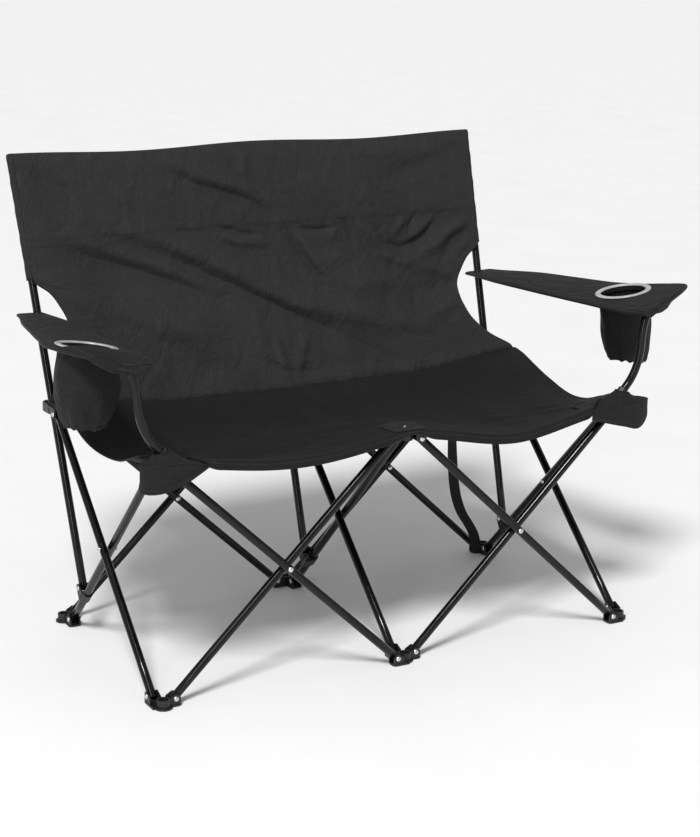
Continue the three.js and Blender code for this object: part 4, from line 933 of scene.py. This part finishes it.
# The last rings of the sleeve on the arm tube, from its end
SLEEVE_END = {
    1: ([12, 3, 4], [26, 10, 10], [42, 22, 15], [54, 32, 18]),
    -1: ([10, 1, 5], [20, 4, 9], [30, 10, 13], [35, 15, 15]),
}
SLEEVE_R = [9.4, 10.2, 10.4, 9.2, 6, 3]
SLEEVE_FROM_X, WELT_R = 548, 3.3


def arm_surface(x, y):
    """The height of an armrest's middle surface."""
    share = (y - ARM_FRONT) / ARM_LENGTH
    middle = BAY + ARM_WIDTH / 2 - ARM_WIDTH / 3 * share
    tilt = lerp(0.2, 0.03, np.clip(share, 0, 1))
    return lerp(ARM_FRONT_Z, ARM_REAR_Z, share) + tilt * (np.abs(x) - middle)


def arm_grid(side, u, v, half, crown):
    """One face of an armrest: half its thickness above or below its middle surface."""
    out = u if side > 0 else 1 - u
    inner, outer = table(*ARM_INNER, v), table(ARM_OUTER_PLACES, ARM_OUTER[side], v)
    x = BAY + ARM_WIDTH * lerp(inner, outer, out)
    back = 0.04 if side < 0 else 0.02
    y = lerp(ARM_FRONT, ARM_FRONT + ARM_LENGTH, v + back * smooth(out, 0.5, 1) * (1 - v))
    if side < 0:
        inside = 1 - smooth(out, 0, 0.4)
        front = 1 - smooth(v, 0, 0.1)
        x = x + 20 * inside * front
        y = y + 26 * inside * (1 - smooth(v, 0, 0.12)) - 10 * smooth(v, 0.7, 1)
        y = y + 20 * smooth(out, 0.2, 0.6) * front
    swell = crown * arch(out) * np.clip(np.minimum(10 * v, 10 * (1 - v)), 0, 1)
    ripples = 0.5 * np.sin(x * 0.11 + y * 0.045) * arch(u) * arch(v)
    return np.stack([side * x, y, arm_surface(x, y) + half + swell + ripples], axis=2)


def cut_round(obj, centre, radius, axis):
    """Cuts a round hole through a mesh, along an axis through a point, all in millimetres."""
    parts = Parts()
    reach = 60 * np.asarray(axis, float)
    add_rod(parts, [centre - reach, centre + reach], radius, 64)
    cutter = mesh_of("cutter", parts, list(obj.data.materials))
    modifier = obj.modifiers.new("cut", "BOOLEAN")
    modifier.operation = "DIFFERENCE"
    modifier.solver = "EXACT"
    modifier.object = cutter
    graph = bpy.context.evaluated_depsgraph_get()
    cut = bpy.data.meshes.new_from_object(obj.evaluated_get(graph))
    obj.modifiers.clear()
    obj.data = cut
    bpy.data.objects.remove(cutter)


def armrest_piece(name, side_name, side, first, last):
    """An armrest between two rows: a padded, welted panel, and in front a sleeve on the arm tube."""
    parts, trim = Parts(), Parts()
    ahead = first == 0
    u, v = shares_grid(ARM_COLUMNS, ARM_ROWS)[:, first:last + 1]
    top = arm_grid(side, u, v, ARM_HALF, 2.5)
    under = arm_grid(side, u, v, -ARM_HALF, 1.0)
    out = 1 - u
    roll, place = (13.0, 0.1 + 0.05 * smooth(out, 0.5, 1)) if side < 0 else (4.0, 0.045)
    rise = bell(v, place, 0.045) * arch(u) ** 0.4
    droop = 11.0 * (1 - smooth(v, 0, 0.06)) * smooth(out, 0.12, 0.5) * (1 - 0.7 * smooth(out, 0.8, 1))
    if side > 0:
        droop = 0
    edge = 1.2 * (1 - np.minimum(np.minimum(u, out) / 0.06, 1) ** 0.5)
    top[..., 2] += roll * rise - droop - edge
    under[..., 2] += (roll - 8.0) * rise - droop
    down, across = u.shape
    uv = flat_uv(top)
    parts.add([top, under], sheet_faces(down, across), 0, [uv, uv])
    body = mesh_of(name, parts, [trim_cloth, binding, thread])
    if ahead:
        cut_round(body, np.array([side * CUP[0], CUP[1], 650]), CUP_R + GAP, (0, 0, 1))
    else:
        cut_round(body, post_at(side_name, 625.0), TUBE_R + GAP, post_line(side_name, OPEN_LEAN)[1])

    def around(grid, inset):
        """The grid's rim without its cut end, some rows and columns in."""
        rim = grid[inset:] if ahead else grid[:down - inset][::-1]
        rim = rim[:, inset:across - inset]
        return np.concatenate([rim[::-1, 0], rim[0, 1:], rim[1:, -1]])

    add_rod(trim, (around(top, 0) + around(under, 0)) / 2, WELT_R, 12, BINDING)
    add_stitches(trim, around(top, 3), around(normals_of(top), 3))
    if ahead:
        sleeve = arm_route(side)
        sleeve = sleeve[np.abs(sleeve[:, 0]) > SLEEVE_FROM_X]
        sleeve = np.vstack([sleeve, sleeve[-1] + np.array(SLEEVE_END[side]) * (side, 1, 1)])
        end = len(sleeve) - 1
        swell = np.interp(range(end + 1), [0, 2, end - 5, end - 3, end - 1, end], SLEEVE_R)
        add_rod(trim, sleeve, swell, 24)
    edging = mesh_of(name + "_edge", trim, [trim_cloth, binding, thread])
    bpy.context.view_layer.update()
    both = [body, edging]
    with bpy.context.temp_override(active_object=body, object=body, selected_objects=both,
                                   selected_editable_objects=both):
        bpy.ops.object.join()
    body.data.set_sharp_from_angle(angle=math.radians(55))
    return body


for side_name, side in SIDES:
    for piece, first, last, fold in (
        ("_arm_pad", 0, ARM_SPLIT, None),
        ("_arm_pad_rear", ARM_SPLIT, ARM_ROWS, (BACKWARDS, row_point(0, SPLIT_Y, 640), 0.05)),
    ):
        arm = armrest_piece(side_name + piece, side_name, side, first, last)
        settle(arm, f"front_{side_name}_hub", [side_name + "_armrest"], fold)

# --- Cup rings and pouches
RING = [(45.5, 6.2), (46.4, 7.7), (48.5, 8.3), (52.5, 8.4), (55.4, 8.1), (56.6, 7.4), (57.0, 6.3),
        (56.9, 5.8), (47.1, 5.7), (47.1, -3.2), (45.5, -3.2)]
# A thin band of black nylon over the ring's inner wall: painted shade inside the cup ring.
RING_SHADE_BAND = [(45.2, 5.6), (45.2, -3.4), (45.6, -3.4), (45.6, 5.6)]
POUCH_DEPTHS = [0, 0.3, 0.62, 0.86, 1]
POUCH_R = {-1: [1, 0.99, 0.95, 0.86, 0.7], 1: [1, 0.98, 0.94, 0.88, 0.78]}
POUCH_SIDES = 96


def cup_frame(side):
    """The middle of a cup hole, and the armrest's normal there."""
    x, y = CUP
    here, aside, behind = (float(arm_surface(*at)) for at in ((x, y), (x + CUP_R, y), (x, y + CUP_R)))
    return np.array([side * x, y, here]), unit((side * (here - aside) / CUP_R, (here - behind) / CUP_R, 1))


def pouch_piece(name, side, depth, draw, belly):
    """A gathered bag below a cup ring; draw moves its bottom inwards, and belly fills its middle."""
    middle = cup_frame(side)[0]
    angle = round_angles(POUCH_SIDES)

    def ring(level, inset, lift=0.0):
        bulge = arch(level)
        radius = (CUP_R + 2.2) * table(POUCH_DEPTHS, POUCH_R[side], level)
        pleat = 1.3 * level * np.cos(7 * angle) + 0.8 * level * np.cos(13 * angle + 2.0)
        sag = 1.6 * bulge * np.cos(3 * angle + 1) + belly * bulge ** 1.3
        lump = bulge * (1.8 * np.sin(2 * angle + 4.5 * level) + 1.3 * np.sin(5 * angle - 7 * level))
        r = radius - pleat + sag + lump - inset
        x = side * (CUP[0] - draw * level) + r * np.cos(angle)
        y = CUP[1] + r * np.sin(angle)
        top = arm_surface(np.abs(x), y) - 3.3
        gather = level ** 6 * (1.6 * np.cos(11 * angle) + 1.2 * np.cos(17 * angle + 1) - 3 * np.cos(angle))
        return np.stack([x, y, lerp(top, middle[2] - depth, level) + lift + gather], axis=1)

    levels = np.linspace(0, 1, 30)
    rings = [ring(0, -5.5), ring(0, -6), ring(0, -5.5, -1.4), ring(0, 0, -1.4)]
    rings += [ring(t, 0) for t in levels[1:]]
    floor = ring(1, 0)
    centre = floor.mean(axis=0)
    rings += [centre + (floor - centre) * share - (0, 0, 2.2 * (1 - share))
              for share in (0.93, 0.8, 0.5, 0.2, 0.02)]
    rings += [centre + (ring(1, 1.5) - centre) * share + (0, 0, 1.5) for share in (0.02, 0.5, 0.9)]
    rings = np.array(rings + [ring(t, 1.5) for t in levels[::-1]])
    parts = Parts()
    faces = grid_faces(POUCH_SIDES, len(rings) - 1, closed=True, turn=True, looped=True)
    parts.add(rings, faces, 0, round_uv(POUCH_SIDES, CUP_R, run_along(rings[:, 0])))
    seam = np.array([ring(t, -0.3)[POUCH_SIDES // 2 if side > 0 else 0] for t in levels])
    add_stitches(parts, seam, np.tile([-side, 0.0, 0.0], (len(seam), 1)), 1)
    rim = ring(0, 0.2, -7)
    lean = np.stack([np.cos(angle), np.sin(angle), 0 * angle], axis=1)
    add_stitches(parts, np.vstack([rim, rim[:1]]), np.vstack([lean, lean[:1]]), 1)
    return mesh_of(name, parts, [trim_cloth, thread])


for side_name, side, *pouch_form in (("left", -1, 138, -9, 7), ("right", 1, 136, -15, 0)):
    middle, normal = cup_frame(side)
    hub = f"front_{side_name}_hub"
    parts = Parts()
    add_lathe(parts, RING, middle, normal, 96, closed=True)
    # the ring, and over its inner wall the black band of painted shade
    add_lathe(parts, RING_SHADE_BAND, middle, normal, 96, 1, closed=True)
    ring_piece = mesh_of(side_name + "_ring", parts, [ring_plastic, nylon], 40)
    settle(ring_piece, hub, [side_name + "_cup_ring"])
    pouch = pouch_piece(side_name + "_pouch", side, *pouch_form)
    settle(pouch, hub, [side_name + "_cup_pouch"])

# --- Corner pockets
POCKET_PLACES = [0, 0.12, 0.25, 0.4, 0.55, 0.68, 0.78, 0.88, 1]
POCKET_OUT = [0, 0.13, 0.3, 0.52, 0.76, 0.94, 1, 0.93, 0.79]
POCKET_FRONT = [0.84, 0.96, 1, 1, 0.97, 0.78, 0.5, 0.22, 0]
POCKET_TOP = [0, 0.3, 0.75, 1, 1, 0.85, 0.8, 0.9, 1]
POCKET_FALL = {
    -1: [0.12, 0.3, 0.6, 0.88, 1, 0.98, 0.86, 0.62, 0.4],
    1: [0.3, 0.45, 0.66, 0.86, 1, 0.66, 0.3, 0.2, 0.16],
}
POCKET_REAR = ((BAY + 24, 48), (BAY + 4, 80), (BAY - 28, 94), (BAY - 70, 80), (BAY - 92, 36))
NECK_RUN = 19


def pocket_piece(name, side, reach, fall):
    """The cloth over a front corner hub: a drop in front, and a top that tents up to the arm tube."""
    parts = Parts()
    seam = seat_grid(np.array([[0.95]]), np.array([[0.0]]))[0, 0]
    front_y = -TUBE_PLANE - CHEEK_OUTER - CLOTH - 3
    u, v = shares_grid(80, 24)
    out, ahead, rise, drop = (table(POCKET_PLACES, values, u)
                              for values in (POCKET_OUT, POCKET_FRONT, POCKET_TOP, POCKET_FALL[side]))
    bulge = (2.2 + 1.3 * np.sin(11 * u + 6 * v)) * arch(v) * arch(u)
    grid = np.stack([side * lerp(seam[0], BAY + reach, out), lerp(26, front_y, ahead) - bulge,
                     lerp(seam[2] + 4, HUB_TOP + 3, rise) - fall * drop * (1 - v)], axis=2)
    if side < 0:
        grid = grid[:, ::-1]
    add_cloth(parts, grid, TRIM_THICK, 0.012)
    add_rod(parts, grid[0] + (0, 0.8, 0), 1.4, 10, BINDING)
    add_stitches(parts, grid[3], normals_of(grid)[3])
    edge = grid[-1, ::side]
    over = [(side * x, y, max(float(seat_over(x, y)) + 1.6, HUB_TOP + 2 if x > BAY + 10 else 0))
            for x, y in POCKET_REAR]
    loop = np.concatenate([edge, catmull([edge[-1], *over, edge[0]], 60)[1:-1]])
    route = arm_route(side)
    neck = read_along(run_along(route), route, NECK_RUN)
    angle = np.arctan2(loop[:, 1] - neck[1], loop[:, 0] - neck[0])
    inner = neck + np.stack([14.8 * np.cos(angle), 11.9 * np.sin(angle), -4.0 * side * np.cos(angle)], axis=1)
    tented = []
    for t in np.linspace(0, 1, 16):
        ring = lerp(inner, loop, t)
        ring[:, 2] = lerp(loop, inner, (1 - t) ** 1.8)[:, 2] + 0.8 * np.sin(5 * angle + 2 * t) * arch(t)
        tented.append(np.vstack([ring, ring[:1]]))
    tented = np.array(tented)[:, ::side]
    add_cloth(parts, tented[::-1], TRIM_THICK, 0.012)
    for rim in (0, -1):
        add_rod(parts, tented[rim], 1.5, 10, BINDING)
    return mesh_of(name, parts, [trim_cloth, binding, thread])


for side_name, side, reach, fall in (("left", -1, 34, 50), ("right", 1, 52, 54)):
    pocket = pocket_piece(side_name + "_pocket", side, reach, fall)
    settle(pocket, f"front_{side_name}_hub", [f"front_{side_name}_pocket"])

# --- Patch over the front centre hub
PATCH_STEPS, PATCH_HALF, PATCH_FRONT, PATCH_BACK = 44, 37, -23.6, 40
PATCH_STITCH = (0, 3.4, 2.3)
EYELET = [(7.7, 0.0), (7.6, 0.5), (6.8, 1.3), (5.4, 1.7), (4.2, 1.5), (3.4, 0.9), (3.4, -0.6)]


def patch_piece():
    """The patch, and its stitches and eyelet."""
    parts, trim = Parts(), Parts()
    u, v = 2 * shares_grid(PATCH_STEPS, PATCH_STEPS) - 1
    rounded = 1 - 0.10 * (u ** 2 * v ** 2)
    x = PATCH_HALF * u * rounded
    y = lerp(PATCH_FRONT, PATCH_BACK, (v * rounded + 1) / 2)
    grid = np.stack([x, y, seat_over(x, y) + 1.9], axis=2)
    add_cloth(parts, grid, TRIM_THICK, 0.008)
    normals = normals_of(grid)
    border, lean = (np.concatenate([g[3, 3:-3], g[3:-3, -4], g[-4, -4:2:-1], g[-4:2:-1, 3]])
                    for g in (grid, normals))
    add_stitches(trim, border, lean, *PATCH_STITCH)
    inner = np.arange(6, 39)
    for line in (grid[inner, inner], grid[inner, PATCH_STEPS - inner]):
        for part in (line[:11], line[-11:]):
            add_stitches(trim, part, np.tile(normals[22, 22], (len(part), 1)), *PATCH_STITCH)
    add_lathe(trim, EYELET, grid[20, 22], normals[20, 22], 36, 1)
    add_lathe(trim, [(3.5, 0.35), (0.01, 0.3)], grid[20, 22], normals[20, 22], 36, 2)
    return (mesh_of("centre_patch", parts, [trim_cloth]),
            mesh_of("centre_patch_eyelet", trim, [thread, dark_plating, nylon]))


patch, patch_trim = patch_piece()
settle(patch, "front_centre_hub", ["seat_patch"])
settle(patch_trim, "front_centre_hub", ())

# --- Strap
STRAP_ROUTE = [
    (371, 444, 450), (374, 449, 418), (377, 456, 380), (381, 461, 330), (384, 465, 280), (387, 467, 232),
    (392, 469, 186), (401, 471, 146), (415, 473, 112), (432, 475, 86), (446, 477, 64), (455, 480, 44),
    (461, 484, 26), (467, 488, 9),
]
STRAP_WIDTH, STRAP_THICK, STRAP_TWIST = 25, 1.4, math.radians(-35)
strap_path = catmull(STRAP_ROUTE, 120)
turn = STRAP_TWIST * smooth(np.linspace(1, 0, len(strap_path)), 0.5, 1)
across = np.stack([np.cos(turn), -np.sin(turn), 0 * turn], axis=1)
strap_grid = strap_path[:, None] + across[:, None] * STRAP_WIDTH * np.linspace(-0.5, 0.5, 9)[:, None]
parts = Parts()
add_cloth(parts, strap_grid[::-1], STRAP_THICK)
strap = settle(mesh_of("strap_band", parts, [webbing]), "rear_right_foot", ["strap"])

# --- Moulded fittings keep their CAD shape, in black nylon
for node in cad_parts.values():
    if not node.hide_render:
        node.data.materials.clear()
        node.data.materials.append(nylon)

# --- Floor and light
floor_mesh = bpy.data.meshes.new("floor")
floor_mesh.from_pydata([(-40, -40, 0), (40, -40, 0), (40, 40, 0), (-40, 40, 0)], [], [[0, 1, 2, 3]])
floor = placed("floor", floor_mesh)
floor.location.z = -0.0005
ground = Shader("floor_paint", (0.86, 0.86, 0.86), 0.6)
ground.paint(ground.mix(ground.spread(ground.noise(ground.coordinates("Object"), 3.0), 0.3, 0.7),
                        (0.87, 0.87, 0.87), (0.9, 0.9, 0.9)))
floor_mesh.materials.append(ground.material)


def add_light(name, kind, energy, way):
    light = placed(name, bpy.data.lights.new(name, kind))
    light.data.energy = energy
    light.rotation_euler = Vector(way).to_track_quat("-Z", "Y").to_euler()
    return light


sun = add_light("key", "SUN", 2.75, (0.38, 0.48, -0.79))
sun.data.angle = math.radians(14)
strip = add_light("strip", "AREA", 30, (2.4, 2.6, -1.1))
strip.location = (-2.4, -2.6, 1.6)
strip.data.shape = "RECTANGLE"
strip.data.size, strip.data.size_y = 0.25, 2.4
world = bpy.data.worlds.new("studio")
bpy.context.scene.world = world
world.use_nodes = True
sky = world.node_tree.nodes["Background"].inputs
sky["Color"].default_value, sky["Strength"].default_value = (1, 1, 1, 1), 0.4
bpy.context.scene.view_settings.view_transform = "Standard"
